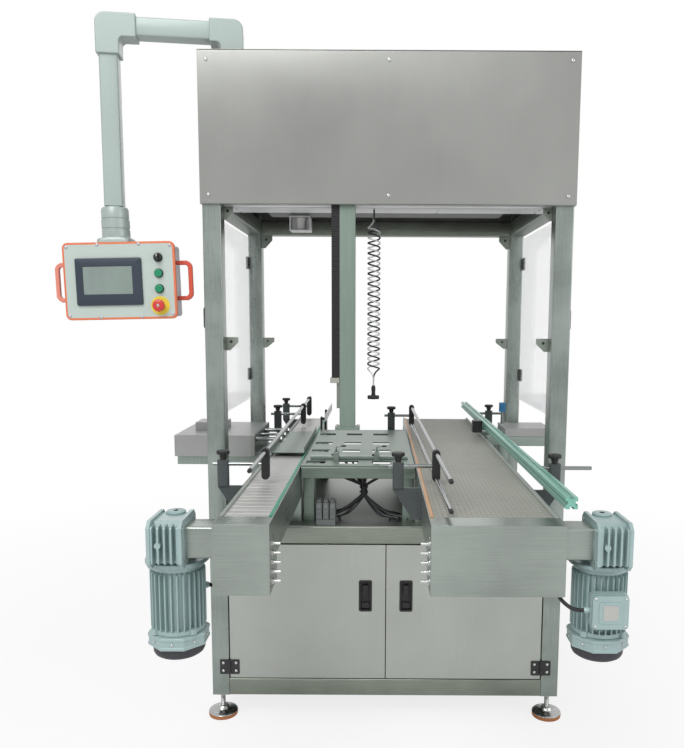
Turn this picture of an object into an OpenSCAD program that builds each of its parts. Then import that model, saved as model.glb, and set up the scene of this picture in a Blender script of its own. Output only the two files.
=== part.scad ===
// Bottle packing machine: a stainless frame on levelling feet, a hood with a gantry and lift column,
// a narrow bottle conveyor, a wide case conveyor, a slotted platform between them and a hung control panel.
// Millimetres. X runs to the right, Y to the back, Z up. The pieces are laid out from the middle of the
// frame's front, and place() then moves them so that the origin is below the middle of the whole machine.

/* [Frame] */
// Width over the frame's posts
frame_w = 1200; // [1150:10:1300]
// Depth over the frame's posts
frame_d = 900; // [880:10:1000]
// Side of the square frame tubes
post = 60; // [56:1:66]
// Wall of the square frame tubes
tube_wall = 3; // [2:0.5:5]
// Height of the frame's underside above the floor
frame_low = 85; // [75:1:100]
// Height of the top of the cabinet's upper rails
deck_z = 687; // [670:1:700]
// Sheet of the panels, doors and covers
sheet = 2; // [1.5:0.5:3]
// Thickness of the deck plate
deck_t = 3; // [2:0.5:5]

/* [Feet] */
// Radius of the foot disc
foot_r = 50; // [40:1:60]
// Height of the rubber pad
pad_h = 14; // [8:1:18]
// Radius of the threaded stem
stem_r = 8; // [6:0.5:10]

/* [Hood] */
// Height of the hood's lower edge
hood_low = 1750; // [1720:5:1800]
// Height of the hood's top face
hood_high = 2222; // [2200:2:2300]
// How far the hood's front cover stands proud of the posts
hood_proud = 15; // [10:1:25]

/* [Conveyors] */
// Height of the belts' carrying surface
belt_z = 886; // [880:1:892]
// Height of the conveyors' side plates at the top edge
lip_z = 890; // [886:1:896]
// Height of the side plates
side_h = 110; // [104:1:120]
// Height of the deep boxes at the conveyors' front ends
box_h = 178; // [170:1:184]
// Length of the deep end boxes
box_len = 130; // [110:1:150]
// How far the conveyors reach in front of the frame
reach_front = 704; // [690:2:740]
// Length of the conveyors
conveyor_len = 2061; // [1900:1:2200]
// Width of the slat chain on the narrow conveyor
chain_w = 116; // [100:1:120]
// Width over the narrow conveyor
narrow_w = 140; // [136:1:146]
// Width of the belt on the wide conveyor
belt_w = 304; // [280:1:308]
// Width over the wide conveyor
wide_w = 330; // [326:1:340]
// Middle of the narrow conveyor, to the left of the frame's middle
narrow_x = 361; // [355:1:370]
// Middle of the wide conveyor, to the right of the frame's middle
wide_x = 265; // [260:1:272]
// Thickness of the belts
belt_t = 8; // [5:0.5:10]
// Radius of the drive and idler shafts
shaft_r = 12.5; // [10:0.5:14]

/* [Platform] */
// Height of the platform's top face
platform_z = 898; // [896:1:900]
// Depth of the platform
platform_d = 828; // [700:2:836]
// Thickness of the slotted plate
platform_t = 5; // [3:0.5:8]
// Side of the platform's square tubes
platform_tube = 40; // [30:1:44]
// Windows across the plate
window_cols = 3; // [2:1:4]
// Windows from front to back
window_rows = 4; // [2:1:5]
// Width of a window
window_w = 66; // [40:1:80]
// Depth of a window
window_d = 50; // [20:1:60]

/* [Lift] */
// Width of the lift column
column_w = 52; // [46:1:56]
// Depth of the lift column
column_d = 46; // [40:1:48]
// Height of the column's lower end
column_low = 1028; // [1022:1:1060]
// Length of the column
column_len = 862; // [830:1:880]
// Middle of the column, to the left of the frame's middle
column_x = 132; // [110:1:150]

/* [Guides] */
// Height of the guide rods
rod_z0 = 947; // [942:1:952]
// Radius of the guide rods
rod_r = 6; // [5:0.5:7]
// Radius of the round guide tubes
guide_r = 6; // [5:0.5:8]
// Distance of a guide bracket's post from its conveyor
bracket_out = 68; // [60:1:74]

/* [Drives] */
// Height of a gearbox
gear_h = 120; // [110:1:126]
// Length of a gearbox from front to back
gear_l = 144; // [136:1:150]
// Width of a gearbox over its flanges
gear_w = 86; // [80:1:92]
// Radius of a motor's body
motor_r = 70; // [64:1:74]
// Radius of a motor's flange
flange_r = 80; // [76:1:84]

/* [Control panel] */
// Width of the panel over its rim
panel_w = 360; // [340:1:372]
// Height of the panel over its rim
panel_h = 246; // [236:1:260]
// Depth of the panel
panel_d = 98; // [80:1:102]
// Length of the arm between its two upright axes
arm_len = 382; // [372:1:390]
// Side of the arm's square tubes
arm_tube = 57; // [50:1:62]

/* [Hidden] */
$fn = 48;

// Clearances: beside a seat, in a running fit, and the overrun of a cut
seat = 0.3;
fit = 0.05;
cut = 1;
// Width of a visible gap round a door
door_gap = 3;

// Faces of the frame
xo = frame_w / 2;
xi = xo - post;
back_y = frame_d - post;
post_top = hood_high - sheet;
cabinet_low = frame_low + post;
cabinet_high = deck_z - post;

// Conveyor lines
narrow_lo = -narrow_x - narrow_w / 2;
narrow_hi = -narrow_x + narrow_w / 2;
wide_lo = wide_x - wide_w / 2;
wide_hi = wide_x + wide_w / 2;
front_y = -reach_front;
rear_y = front_y + conveyor_len;
side_t = 3;
belt_inner_r = 40;
belt_outer_r = belt_inner_r + belt_t;
shaft_z = belt_z - belt_outer_r;
shaft_back = 59;
drive_y = front_y + shaft_back;
idler_y = rear_y - shaft_back;
side_low = lip_z - side_h;
box_low = lip_z - box_h;

// A block between two corners
module span(x, y, z) translate([x[0], y[0], z[0]]) cube([x[1] - x[0], y[1] - y[0], z[1] - z[0]]);
// Round bars along each axis, at a place across it
module rod_x(x, at, r) translate([x[0], at[0], at[1]]) rotate([0, 90, 0]) cylinder(h = x[1] - x[0], r = r);
module rod_y(y, at, r) translate([at[0], y[1], at[1]]) rotate([90, 0, 0]) cylinder(h = y[1] - y[0], r = r);
module rod_z(z, at, r) translate([at[0], at[1], z[0]]) cylinder(h = z[1] - z[0], r = r);
// Rectangular tubes along each axis
function inner(a, w) = [a[0] + w, a[1] - w];
function longer(a) = [a[0] - cut, a[1] + cut];
module tube_x(x, y, z, w) difference() { span(x, y, z); span(longer(x), inner(y, w), inner(z, w)); }
module tube_y(x, y, z, w) difference() { span(x, y, z); span(inner(x, w), longer(y), inner(z, w)); }
module tube_z(x, y, z, w) difference() { span(x, y, z); span(inner(x, w), inner(y, w), longer(z)); }
// An outline in X and Z, made solid from front to back
module slab_y(y) translate([0, y[1], 0]) rotate([90, 0, 0]) linear_extrude(y[1] - y[0]) children();
// A rectangle with round corners, about the origin
module round_rect(w, h, r) {
    square([w - 2 * r, h], center = true);
    square([w, h - 2 * r], center = true);
    for (x = [-1, 1], y = [-1, 1]) translate([x * (w / 2 - r), y * (h / 2 - r)]) circle(r);
}

// Frame
foot_plate = 8;
module frame_posts() color("silver")
    for (x = [[-xo, -xi], [xi, xo]], y = [[0, post], [back_y, frame_d]]) difference() {
        span(x, y, [frame_low, post_top]);
        span(inner(x, tube_wall), inner(y, tube_wall), [frame_low + foot_plate, post_top + cut]);
        rod_z([frame_low - cut, frame_low + foot_plate + cut], [(x[0] + x[1]) / 2, (y[0] + y[1]) / 2],
            stem_r + fit);
    }
module ring_of_rails(z) {
    for (y = [[0, post], [back_y, frame_d]]) tube_x([-xi, xi], y, z, tube_wall);
    for (x = [[-xo, -xi], [xi, xo]]) tube_y(x, [post, back_y], z, tube_wall);
}
module cabinet_rails() color("silver") {
    ring_of_rails([frame_low, cabinet_low]);
    ring_of_rails([cabinet_high, deck_z]);
}
module hood_rails() color("silver") {
    ring_of_rails([post_top - post, post_top]);
    tube_x([-xi, xi], [back_y, frame_d], [hood_low, hood_low + post], tube_wall);
    for (x = [[-xo, -xi], [xi, xo]]) tube_y(x, [post, back_y], [hood_low, hood_low + post], tube_wall);
}
module cabinet_panels() color("gainsboro") {
    difference() {
        span([-xo, xo], [0, frame_d], [deck_z, deck_z + deck_t]);
        for (x = [[-xo - cut, -xi], [xi, xo + cut]], y = [[-cut, post], [back_y, frame_d + cut]])
            span(x, y, longer([deck_z, deck_z + deck_t]));
    }
    for (x = [[-xo, -xo + sheet], [xo - sheet, xo]]) span(x, [post, back_y], [cabinet_low, cabinet_high]);
    span([-xi, xi], [frame_d - sheet, frame_d], [cabinet_low, cabinet_high]);
    span([-xi, xi], [post, back_y], [cabinet_low - sheet, cabinet_low]);
}

// Levelling feet under the four posts
post_xs = [-xo + post / 2, xo - post / 2];
post_ys = [post / 2, frame_d - post / 2];
disc_h = 8;
dome_h = 12;
dome_r = 22;
stem_in = 40;
nut_r = 13;
nut_h = 12;
module foot_pads() color("peru") for (x = post_xs, y = post_ys) rod_z([0, pad_h], [x, y], foot_r);
module levelling_feet() color("silver") for (x = post_xs, y = post_ys) translate([x, y, 0]) {
    disc_top = pad_h + disc_h;
    rod_z([pad_h, disc_top], [0, 0], foot_r);
    rod_z([disc_top, disc_top + dome_h], [0, 0], dome_r);
    rod_z([disc_top + dome_h, frame_low + foot_plate + stem_in], [0, 0], stem_r);
    translate([0, 0, frame_low - nut_h]) difference() {
        cylinder(h = nut_h, r = nut_r, $fn = 6);
        translate([0, 0, -cut]) cylinder(h = nut_h + 2 * cut, r = stem_r + fit);
    }
}

// Hinges lie on a face at local Y 0 that looks along -Y, with the pin at the local origin's X.
// The fixed leaf goes to -X and carries the pin, and the moving leaf goes to +X and turns about it.
hinge_h = 52;
leaf_w = 34;
leaf_t = 3;
knuckle_r = 4.5;
pin_r = 2.5;
pin_out = 4.8;
module hinge_fixed() {
    half = hinge_h / 2;
    span([-leaf_w, -knuckle_r - seat], [-leaf_t, 0], [0, hinge_h]);
    span([-knuckle_r - seat, 0], [-leaf_t, -seat], [0, half - seat]);
    rod_z([0, half - seat], [0, -pin_out], knuckle_r);
    rod_z([0, hinge_h], [0, -pin_out], pin_r);
}
module hinge_moving() {
    half = hinge_h / 2;
    span([knuckle_r + seat, leaf_w], [-leaf_t, 0], [0, hinge_h]);
    difference() {
        union() {
            span([0, knuckle_r + seat], [-leaf_t, -seat], [half + seat, hinge_h]);
            rod_z([half + seat, hinge_h], [0, -pin_out], knuckle_r);
        }
        rod_z([half, hinge_h + cut], [0, -pin_out], pin_r + fit);
    }
}
// Where the cabinet doors and the clear side guards turn
door_pin_x = xi - door_gap / 2;
door_low = cabinet_low + door_gap;
door_high = cabinet_high - door_gap;
hinge_inset = 14;
door_hinge_zs = [door_low + hinge_inset, door_high - hinge_inset - hinge_h];
guard_pin_y = back_y - door_gap / 2;
guard_low = 1040;
guard_high = hood_low - hinge_inset;
guard_t = 8;
guard_hinge_inset = 80;
guard_hinge_zs = [guard_low + guard_hinge_inset, guard_high - guard_hinge_inset - hinge_h];
module at_left_door() translate([-door_pin_x, 0, 0]) children();
module at_left_guard() translate([-xo, guard_pin_y, 0]) rotate([0, 0, -90]) children();
catch_w = 20;
catch_h = 30;
// Gussets: three-cornered plates on the posts' inner faces, [place along Y, underside, height, width]
gusset_plate = 5;
gusset_front_tall = 40;
gusset_front_wide = 30;
gusset_rear_tall = 56;
gusset_rear_wide = 46;
gusset_mid_tall = 44;
gusset_mid_front = [1280, 40];
gusset_mid_rear = [1262, 50];
gusset_tops = [
    [post - 2 * gusset_plate, hood_low - gusset_front_tall, gusset_front_tall, gusset_front_wide],
    [post - 2 * gusset_plate, gusset_mid_front[0], gusset_mid_tall, gusset_mid_front[1]],
    [back_y + gusset_plate, gusset_mid_rear[0], gusset_mid_tall, gusset_mid_rear[1]],
    [back_y + gusset_plate, hood_low - gusset_rear_tall, gusset_rear_tall, gusset_rear_wide]];
module gusset(g) translate([-xi, g[0], g[1]]) slab_y([0, gusset_plate])
    polygon([[0, 0], [g[3] / 3, 0], [g[3], g[2] * 0.6], [g[3], g[2]], [0, g[2]]]);
module hinges_and_gussets() color("dimgray") for (m = [0, 1]) mirror([m, 0, 0]) {
    for (g = gusset_tops) gusset(g);
    at_left_door() for (z = door_hinge_zs) translate([0, 0, z]) hinge_fixed();
    at_left_guard() for (z = guard_hinge_zs) translate([0, 0, z]) hinge_fixed();
    for (z = guard_hinge_zs)
        span([-xo + guard_t + seat, -xo + guard_t + seat + catch_w], [post, post + catch_w], [z, z + catch_h]);
}

// Cabinet doors are folded pans with a recessed pull
door_t = 20;
pull_w = 45;
pull_h = 110;
pull_deep = 14;
pull_wall = 3;
pull_proud = 3;
pull_from_edge = 47;
pull_z = 445;
module cabinet_door() {
    x = [-door_pin_x + door_gap / 2, -door_gap / 2];
    z = [door_low, door_high];
    cup_x = -pull_from_edge - pull_w / 2;
    color("lightgray") difference() {
        span(x, [0, door_t], z);
        span(inner(x, sheet), [sheet, door_t + cut], inner(z, sheet));
        translate([cup_x, 0, pull_z]) slab_y([-cut, sheet + cut])
            square([pull_w - 2 * pull_wall, pull_h - 2 * pull_wall], center = true);
    }
    color("black") translate([cup_x, 0, pull_z]) difference() {
        union() {
            slab_y([-pull_proud, 0]) round_rect(pull_w, pull_h, 2 * pull_wall);
            slab_y([0, pull_deep]) square([pull_w - 2 * pull_wall, pull_h - 2 * pull_wall], center = true);
        }
        slab_y([-pull_proud - cut, pull_deep - pull_wall])
            square([pull_w - 4 * pull_wall, pull_h - 4 * pull_wall], center = true);
    }
    color("dimgray") at_left_door() for (z = door_hinge_zs) translate([0, 0, z]) hinge_moving();
}
module left_cabinet_door() cabinet_door();
module right_cabinet_door() mirror([1, 0, 0]) cabinet_door();

// Clear side guards hang on the rear posts and carry a black bow handle near the front post
guard_handle_h = 84;
guard_handle_out = 24;
guard_handle_t = 9;
guard_handle_z = 1346;
guard_handle_y = post + 26;
module guard_door() {
    y = [post + door_gap, guard_pin_y - door_gap / 2];
    color([0.9, 0.95, 0.95, 0.5]) span([-xo, -xo + guard_t], y, [guard_low, guard_high]);
    color("dimgray") at_left_guard() for (z = guard_hinge_zs) translate([0, 0, z]) hinge_moving();
    color("black") translate([-xo, guard_handle_y, guard_handle_z]) difference() {
        span([-guard_handle_out, 0], [0, guard_handle_t], [0, guard_handle_h]);
        span([-guard_handle_out + guard_handle_t, cut], longer([0, guard_handle_t]),
            inner([0, guard_handle_h], guard_handle_t));
    }
}
module left_guard_door() guard_door();
module right_guard_door() mirror([1, 0, 0]) guard_door();

// Hood
hood_over = 3;
hood_x = xo + hood_over;
// Round base on the hood's top with the pin that the panel's arm turns on
turn_base_r = 34;
turn_base_h = 8;
turn_pin_r = 20;
turn_pin_h = 32;
module hood_covers() color("lightgray") {
    difference() {
        span([-hood_x, hood_x], [-hood_proud, 0], [hood_low, post_top]);
        span(inner([-hood_x, hood_x], sheet), [-hood_proud + sheet, cut], inner([hood_low, post_top], sheet));
    }
    for (x = [[-hood_x, -xo], [xo, hood_x]]) span(x, [0, frame_d], [hood_low, post_top]);
    span([-hood_x, hood_x], [frame_d, frame_d + sheet], [hood_low, post_top]);
    span([-hood_x, hood_x], [-hood_proud, frame_d + sheet], [post_top, hood_high]);
    rod_z([hood_high, hood_high + turn_base_h], [arm_x, arm_y], turn_base_r);
    rod_z([hood_high, hood_high + turn_base_h + turn_pin_h], [arm_x, arm_y], turn_pin_r);
}

// Bolts: six on the hood's front, and a row in the inner side of each conveyor's end box
screw_r = 6;
screw_h = 4;
hood_screw_inset = 28;
bolt_r = 5;
bolt_len = 22;
bolt_step = 24;
bolt_count = 5;
bolt_in = 40;
module fasteners() color("silver") {
    for (x = [-hood_x + hood_screw_inset, 0, hood_x - hood_screw_inset],
        z = [hood_low + hood_screw_inset, post_top - hood_screw_inset])
        rod_y([-hood_proud - screw_h, -hood_proud], [x, z], screw_r);
    for (n = [0 : bolt_count - 1]) {
        z = box_low + bolt_step + n * bolt_step;
        rod_x([narrow_hi, narrow_hi + bolt_len], [front_y + bolt_in, z], bolt_r);
        rod_x([wide_lo - bolt_len, wide_lo], [front_y + bolt_in, z], bolt_r);
    }
}

// Gantry beam across the hood's underside, with a cable tray behind it
beam_gap = 2;
beam_deep = 120;
beam_y = [post + beam_gap, post + beam_gap + beam_deep];
beam_h = 120;
beam_wall = 5;
beam_top = hood_low + beam_h;
tray_x = [-420, 408];
tray_d = 148;
tray_low = hood_low + 6;
tray_h = 40;
module gantry_beam() color("gray") {
    tube_x([-xi, xi], beam_y, [hood_low, beam_top], beam_wall);
    difference() {
        span(tray_x, [beam_y[1], beam_y[1] + tray_d], [tray_low, tray_low + tray_h]);
        span(inner(tray_x, sheet), inner([beam_y[1], beam_y[1] + tray_d], sheet),
            [tray_low + sheet, tray_low + tray_h + cut]);
    }
}
lamp_x = -315;
lamp_w = 76;
lamp_d = 60;
lamp_low = 1703;
lamp_y = 290;
lamp_r = 18;
lamp_len = 44;
module ceiling_lamp() {
    x = [lamp_x - lamp_w / 2, lamp_x + lamp_w / 2];
    color("gray") difference() {
        span(x, [lamp_y, lamp_y + lamp_d], [lamp_low, tray_low]);
        span(inner(x, 2 * sheet), [lamp_y - cut, lamp_y + lamp_d - 2 * sheet],
            [lamp_low + 2 * sheet, tray_low - 2 * sheet]);
    }
    color("white") rod_z([tray_low - 2 * sheet - lamp_len, tray_low - 2 * sheet],
        [lamp_x, lamp_y + lamp_d / 2], lamp_r);
}

// Conveyors
lip_len = 76;
lip_in = 3;
spacer_r = 10;
spacer_share = [0.15, 0.42, 0.68, 0.9];
module conveyor_frame(x) color("silver") {
    shaft_at = [drive_y, shaft_z];
    difference() {
        union() {
            for (s = [[x[0], x[0] + side_t], [x[1] - side_t, x[1]]]) {
                span(s, [front_y + side_t, rear_y], [side_low, lip_z]);
                span(s, [front_y + side_t, front_y + box_len], [box_low, side_low]);
            }
            span(x, [front_y, front_y + side_t], [box_low, lip_z]);
            span(inner(x, side_t), [front_y + side_t, front_y + lip_len], [lip_z - sheet, lip_z]);
        }
        rod_x(longer(x), shaft_at, shaft_r + fit);
        rod_x(longer(x), [idler_y, shaft_z], shaft_r + fit);
    }
    for (s = spacer_share) rod_x(inner(x, side_t), [front_y + s * conveyor_len, shaft_z], spacer_r);
}
// Square sleeve that carries a gearbox beside its conveyor
sleeve_half = 40;
sleeve_wall = 5;
sleeve_len = 69;
module drive_sleeve(x) color("silver")
    tube_x(x, [drive_y - sleeve_half, drive_y + sleeve_half], [shaft_z - sleeve_half, shaft_z + sleeve_half],
        sleeve_wall);
module left_conveyor_frame() {
    conveyor_frame([narrow_lo, narrow_hi]);
    drive_sleeve([narrow_lo - sleeve_len, narrow_lo]);
}
module right_conveyor_frame() {
    conveyor_frame([wide_lo, wide_hi]);
    drive_sleeve([wide_hi, wide_hi + left_to_right_sleeve]);
}
module belt_loop(x) {
    difference() {
        union() {
            for (y = [drive_y, idler_y]) rod_x(x, [y, shaft_z], belt_outer_r);
            span(x, [drive_y, idler_y], [shaft_z - belt_outer_r, shaft_z + belt_outer_r]);
        }
        for (y = [drive_y, idler_y]) rod_x(longer(x), [y, shaft_z], belt_inner_r);
        span(longer(x), [drive_y, idler_y], [shaft_z - belt_inner_r, shaft_z + belt_inner_r]);
    }
}
chain_x = [-narrow_x - chain_w / 2 - 1 * seat, -narrow_x + chain_w / 2 - 1 * seat];
belt_x = [wide_x - belt_w / 2, wide_x + belt_w / 2];
module left_belt() color("tan") belt_loop(chain_x);
module right_belt() color("tan") belt_loop(belt_x);
strip_low = 872;
strip_proud = 3;
module edge_strips(x, band) for (s = [[x[0] + side_t, band[0] - seat], [band[1] + seat, x[1] - side_t]])
    span(s, [front_y + lip_len + seat, idler_y], [strip_low, lip_z + strip_proud]);
module wear_strips() {
    color("seagreen") edge_strips([narrow_lo, narrow_hi], chain_x);
    color("sandybrown") edge_strips([wide_lo, wide_hi], belt_x);
}

// Shafts carry their belt's sprockets
sprocket_t = 20;
sprocket_gap = 0.5;
sprocket_sides = 12;
module sprocket(x, y) difference() {
    translate([x - sprocket_t / 2, y, shaft_z]) rotate([0, 90, 0])
        cylinder(h = sprocket_t, r = belt_inner_r - sprocket_gap, $fn = sprocket_sides);
    rod_x([x - sprocket_t, x + sprocket_t], [y, shaft_z], shaft_r + fit / 2);
}
module sprockets(band, y, count) for (n = [0 : count - 1])
    sprocket(band[0] + (n + 0.5) * (band[1] - band[0]) / count, y);
gear_x = narrow_x + narrow_w / 2 + sleeve_len + gear_w / 2;
left_to_right_sleeve = gear_x - gear_w / 2 - wide_hi;
shaft_proud = 2;
module left_drive_shaft() color("lightslategray") {
    rod_x([-gear_x - gear_w / 2 - shaft_proud, narrow_hi + shaft_proud], [drive_y, shaft_z], shaft_r);
    sprockets(chain_x, drive_y, 2);
}
module right_drive_shaft() color("lightslategray") {
    rod_x([wide_lo - shaft_proud, gear_x + gear_w / 2 + shaft_proud], [drive_y, shaft_z], shaft_r);
    sprockets(belt_x, drive_y, 3);
}
module left_idler_shaft() color("lightslategray") {
    rod_x([narrow_lo - shaft_proud, narrow_hi + shaft_proud], [idler_y, shaft_z], shaft_r);
    sprockets(chain_x, idler_y, 2);
}
module right_idler_shaft() color("lightslategray") {
    rod_x([wide_lo - shaft_proud, wide_hi + shaft_proud], [idler_y, shaft_z], shaft_r);
    sprockets(belt_x, idler_y, 3);
}

// Worm gearbox about the shaft, with the motor hung below its rear half
worm_off = 45;
gear_core = 68;
gear_flange_t = 9;
gear_foot = 12;
gear_chamfer = 22;
rib_t = 5;
rib_count = 5;
plug_r = 8;
cap_r = 25;
module gearbox() color("mediumaquamarine") {
    half = gear_w / 2;
    difference() {
        union() {
            span([-gear_core / 2, gear_core / 2], [-gear_l / 2 + gear_foot, gear_l / 2 - gear_foot],
                [-gear_h / 2 + gear_foot / 2, gear_h / 2 - gear_foot / 2]);
            for (x = [-half, half - gear_flange_t]) translate([x, 0, 0]) rotate([90, 0, 90])
                linear_extrude(gear_flange_t) difference() {
                    square([gear_l, gear_h], center = true);
                    for (a = [-1, 1], b = [-1, 1]) translate([a * gear_l / 2, b * gear_h / 2])
                        rotate(45) square(gear_chamfer, center = true);
                }
            for (n = [0 : rib_count - 1]) {
                x = -gear_core / 2 + rib_t / 2 + n * (gear_core - rib_t) / (rib_count - 1);
                span([x - rib_t / 2, x + rib_t / 2], [-gear_l / 2 + rib_t, 0],
                    [-gear_h / 2 + gear_foot, gear_h / 2 - gear_foot]);
            }
            rod_y([-gear_l / 2 + rib_t - rib_t / 2, 0], [-gear_core / 4, 0], plug_r);
            rod_z([-gear_h / 2, gear_h / 2], [0, worm_off], cap_r);
        }
        rod_x(longer([-half, half]), [0, 0], shaft_r + fit);
    }
}
module gearboxes() for (x = [-gear_x, gear_x]) translate([x, drive_y, shaft_z]) gearbox();

// Motors hang below the gearboxes; each has ribs, a terminal box with a gland, and an eight-sided fan cover
motor_top = shaft_z - gear_h / 2;
flange_t = 11;
motor_len = 190;
motor_core = 6;
fin_t = 3;
fin_count = 28;
motor_low = motor_top - motor_len;
terminal_w = 92;
terminal_h = 88;
terminal_d = 35;
terminal_drop = 62;
gland_r = 9;
gland_len = 16;
module motor(side) color("mediumaquamarine") {
    rod_z([motor_top - flange_t, motor_top], [0, 0], flange_r);
    rod_z([motor_low, motor_top - flange_t], [0, 0], motor_r - motor_core);
    for (n = [0 : fin_count - 1]) rotate(n * 360 / fin_count)
        span([0, motor_r], [-fin_t / 2, fin_t / 2], [motor_low + flange_t, motor_top - 3 * flange_t]);
    z = [motor_top - terminal_drop - terminal_h, motor_top - terminal_drop];
    y = side * (motor_r - motor_core);
    out = side * (motor_r + terminal_d);
    span([-terminal_w / 2, terminal_w / 2], [min(y, out), max(y, out)], z);
    rod_x(side < 0 ? [-terminal_w / 2 - gland_len, 0] : [0, terminal_w / 2 + gland_len],
        [(y + out) / 2, (z[0] + z[1]) / 2], gland_r);
}
motor_y = drive_y + worm_off;
module left_motor() translate([-gear_x, motor_y, 0]) motor(1);
module right_motor() translate([gear_x, motor_y, 0]) motor(-1);
fan_h = 36;
fan_cap_h = 30;
fan_r = 79;
fan_cap_r = 66;
module fan_covers() for (x = [-gear_x, gear_x]) translate([x, motor_y, motor_low]) {
    color("mediumaquamarine") translate([0, 0, -fan_h]) rotate(180 / 8) cylinder(h = fan_h, r = fan_r, $fn = 8);
    color("darkslategray") rod_z([-fan_h - fan_cap_h, -fan_h], [0, 0], fan_cap_r);
}

// Legs between the deck, the conveyors, the platform and the side tables
leg = 40;
leg_wall = 3;
deck_top = deck_z + deck_t;
conveyor_leg_ys = [[post, post + leg], [back_y - leg, back_y]];
pusher_x = [-832, -528];
pusher_y = [440, 838];
pusher_z = [846, 930];
table_y = [[pusher_y[0] + leg, pusher_y[0] + 2 * leg], [pusher_y[1] - 2 * leg, pusher_y[1] - leg]];
stop_x = [505, 700];
stop_y = [640, 834];
stop_z = [900, 935];
table_leg_x = 480;
module support_legs() color("silver") {
    for (y = conveyor_leg_ys, x = [narrow_lo, narrow_hi - leg, wide_lo, wide_hi - leg])
        tube_z([x, x + leg], y, [deck_top, side_low], leg_wall);
    for (y = table_y) {
        tube_x([pusher_x[0], narrow_lo], y, [pusher_z[0] - leg, pusher_z[0]], leg_wall);
        tube_z([-table_leg_x - leg, -table_leg_x], y, [deck_top, pusher_z[0] - leg], leg_wall);
    }
    for (y = [[stop_y[0], stop_y[0] + leg], [stop_y[1] - leg, stop_y[1]]]) {
        tube_x([wide_hi, stop_x[1]], y, [stop_z[0] - leg, stop_z[0]], leg_wall);
        tube_z([table_leg_x, table_leg_x + leg], y, [deck_top, stop_z[0] - leg], leg_wall);
    }
}

// Platform between the conveyors
platform_gap = 5;
platform_x = [narrow_hi + platform_gap, wide_lo - platform_gap];
plate_low = platform_z - platform_t;
tube_low = plate_low - platform_tube;
platform_leg_y = post + 2;
module platform_frame() color("silver") {
    x = platform_x;
    y = [0, platform_d];
    t = platform_tube;
    for (b = [[y[0], y[0] + t], [y[1] - t, y[1]]]) tube_x(x, b, [tube_low, plate_low], leg_wall);
    for (a = [[x[0], x[0] + t], [x[1] - t, x[1]]]) {
        tube_y(a, [y[0] + t, y[1] - t], [tube_low, plate_low], leg_wall);
        for (b = [[platform_leg_y, platform_leg_y + t], [y[1] - 2 * t, y[1] - t]])
            tube_z(a, b, [deck_top, tube_low], leg_wall);
    }
}
window_y_share = [0.075, 0.35, 0.56, 0.84, 0.95];
window_x_step = 113;
module platform_plate() color("lightgray") difference() {
    span(platform_x, [0, platform_d], [plate_low, platform_z]);
    middle = (platform_x[0] + platform_x[1]) / 2 - window_x_step * 0.3;
    for (c = [0 : window_cols - 1], r = [0 : window_rows - 1])
        translate([middle + (c - (window_cols - 1) / 2) * window_x_step, window_y_share[r] * platform_d, plate_low - cut])
            linear_extrude(platform_t + 2 * cut) square([window_w, window_d], center = true);
}
// Cross bar on the plate, held by two lever clamps
bar_y = [116, 136];
bar_h = 12;
clamp_xs = [-175, -33];
clamp_w = 18;
clamp_h = 16;
lever_r = 3;
lever_len = 34;
module platform_clamps() color("gray") {
    span(inner(platform_x, platform_tube / 2), bar_y, [platform_z, platform_z + bar_h]);
    for (x = clamp_xs) {
        top = platform_z + bar_h + clamp_h;
        span([x - clamp_w / 2, x + clamp_w / 2], [bar_y[0] - clamp_w, bar_y[0]], [platform_z, top]);
        span([x - clamp_w / 2, x + clamp_w / 2], bar_y, [platform_z + bar_h, top]);
        rod_z([top, top + clamp_h], [x, bar_y[0]], lever_r);
        rod_x([x - lever_r, x + lever_len], [bar_y[0], top + clamp_h], lever_r);
    }
}

// Dark valve block on the deck under the platform's left front
valve_x = [-238, -172];
valve_y = [4, 58];
valve_h = 86;
valve_count = 3;
valve_foot = 20;
valve_gap = 3;
valve_cap = 8;
module valve_block() color("darkslategray") {
    span(valve_x, valve_y, [deck_top, deck_top + valve_foot]);
    step = (valve_x[1] - valve_x[0] + valve_gap) / valve_count;
    for (n = [0 : valve_count - 1]) {
        x = [valve_x[0] + n * step, valve_x[0] + (n + 1) * step - valve_gap];
        span(x, inner(valve_y, valve_gap), [deck_top + valve_foot, deck_top + valve_h - valve_cap]);
        span(inner(x, valve_gap), inner(valve_y, valve_cap), [deck_top + valve_h - valve_cap, deck_top + valve_h]);
    }
}

// Bottle pusher on the left: a cover, its drive box, an end plate and two guide rods with a cylinder
end_plate_t = 12;
end_plate_x = [pusher_x[1], pusher_x[1] + end_plate_t];
pusher_rod_z = 912;
pusher_rod_r = 8;
pusher_rod_ys = [475, 715];
cylinder_y = 595;
cylinder_r = 14;
piston_r = 6;
drive_box = [[-783, -660], [586, 706], [930, 962]];
head_x = [-421, -296];
head_y = [220, 740];
head_lift = 2;
head_t = 3;
head_tall = 24;
module pusher_covers() color("gainsboro") {
    difference() {
        span(pusher_x, pusher_y, pusher_z);
        span([pusher_x[0] + sheet, pusher_x[1] + cut], inner(pusher_y, sheet), [pusher_z[0] - cut, pusher_z[1] - sheet]);
    }
    difference() {
        span(drive_box[0], drive_box[1], [pusher_z[1], drive_box[2][1]]);
        span(inner(drive_box[0], sheet), inner(drive_box[1], sheet), [pusher_z[1] - cut, drive_box[2][1] - sheet]);
    }
    difference() {
        span(stop_x, stop_y, stop_z);
        span(inner(stop_x, sheet), inner(stop_y, sheet), [stop_z[0] - cut, stop_z[1] - sheet]);
    }
}
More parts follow.
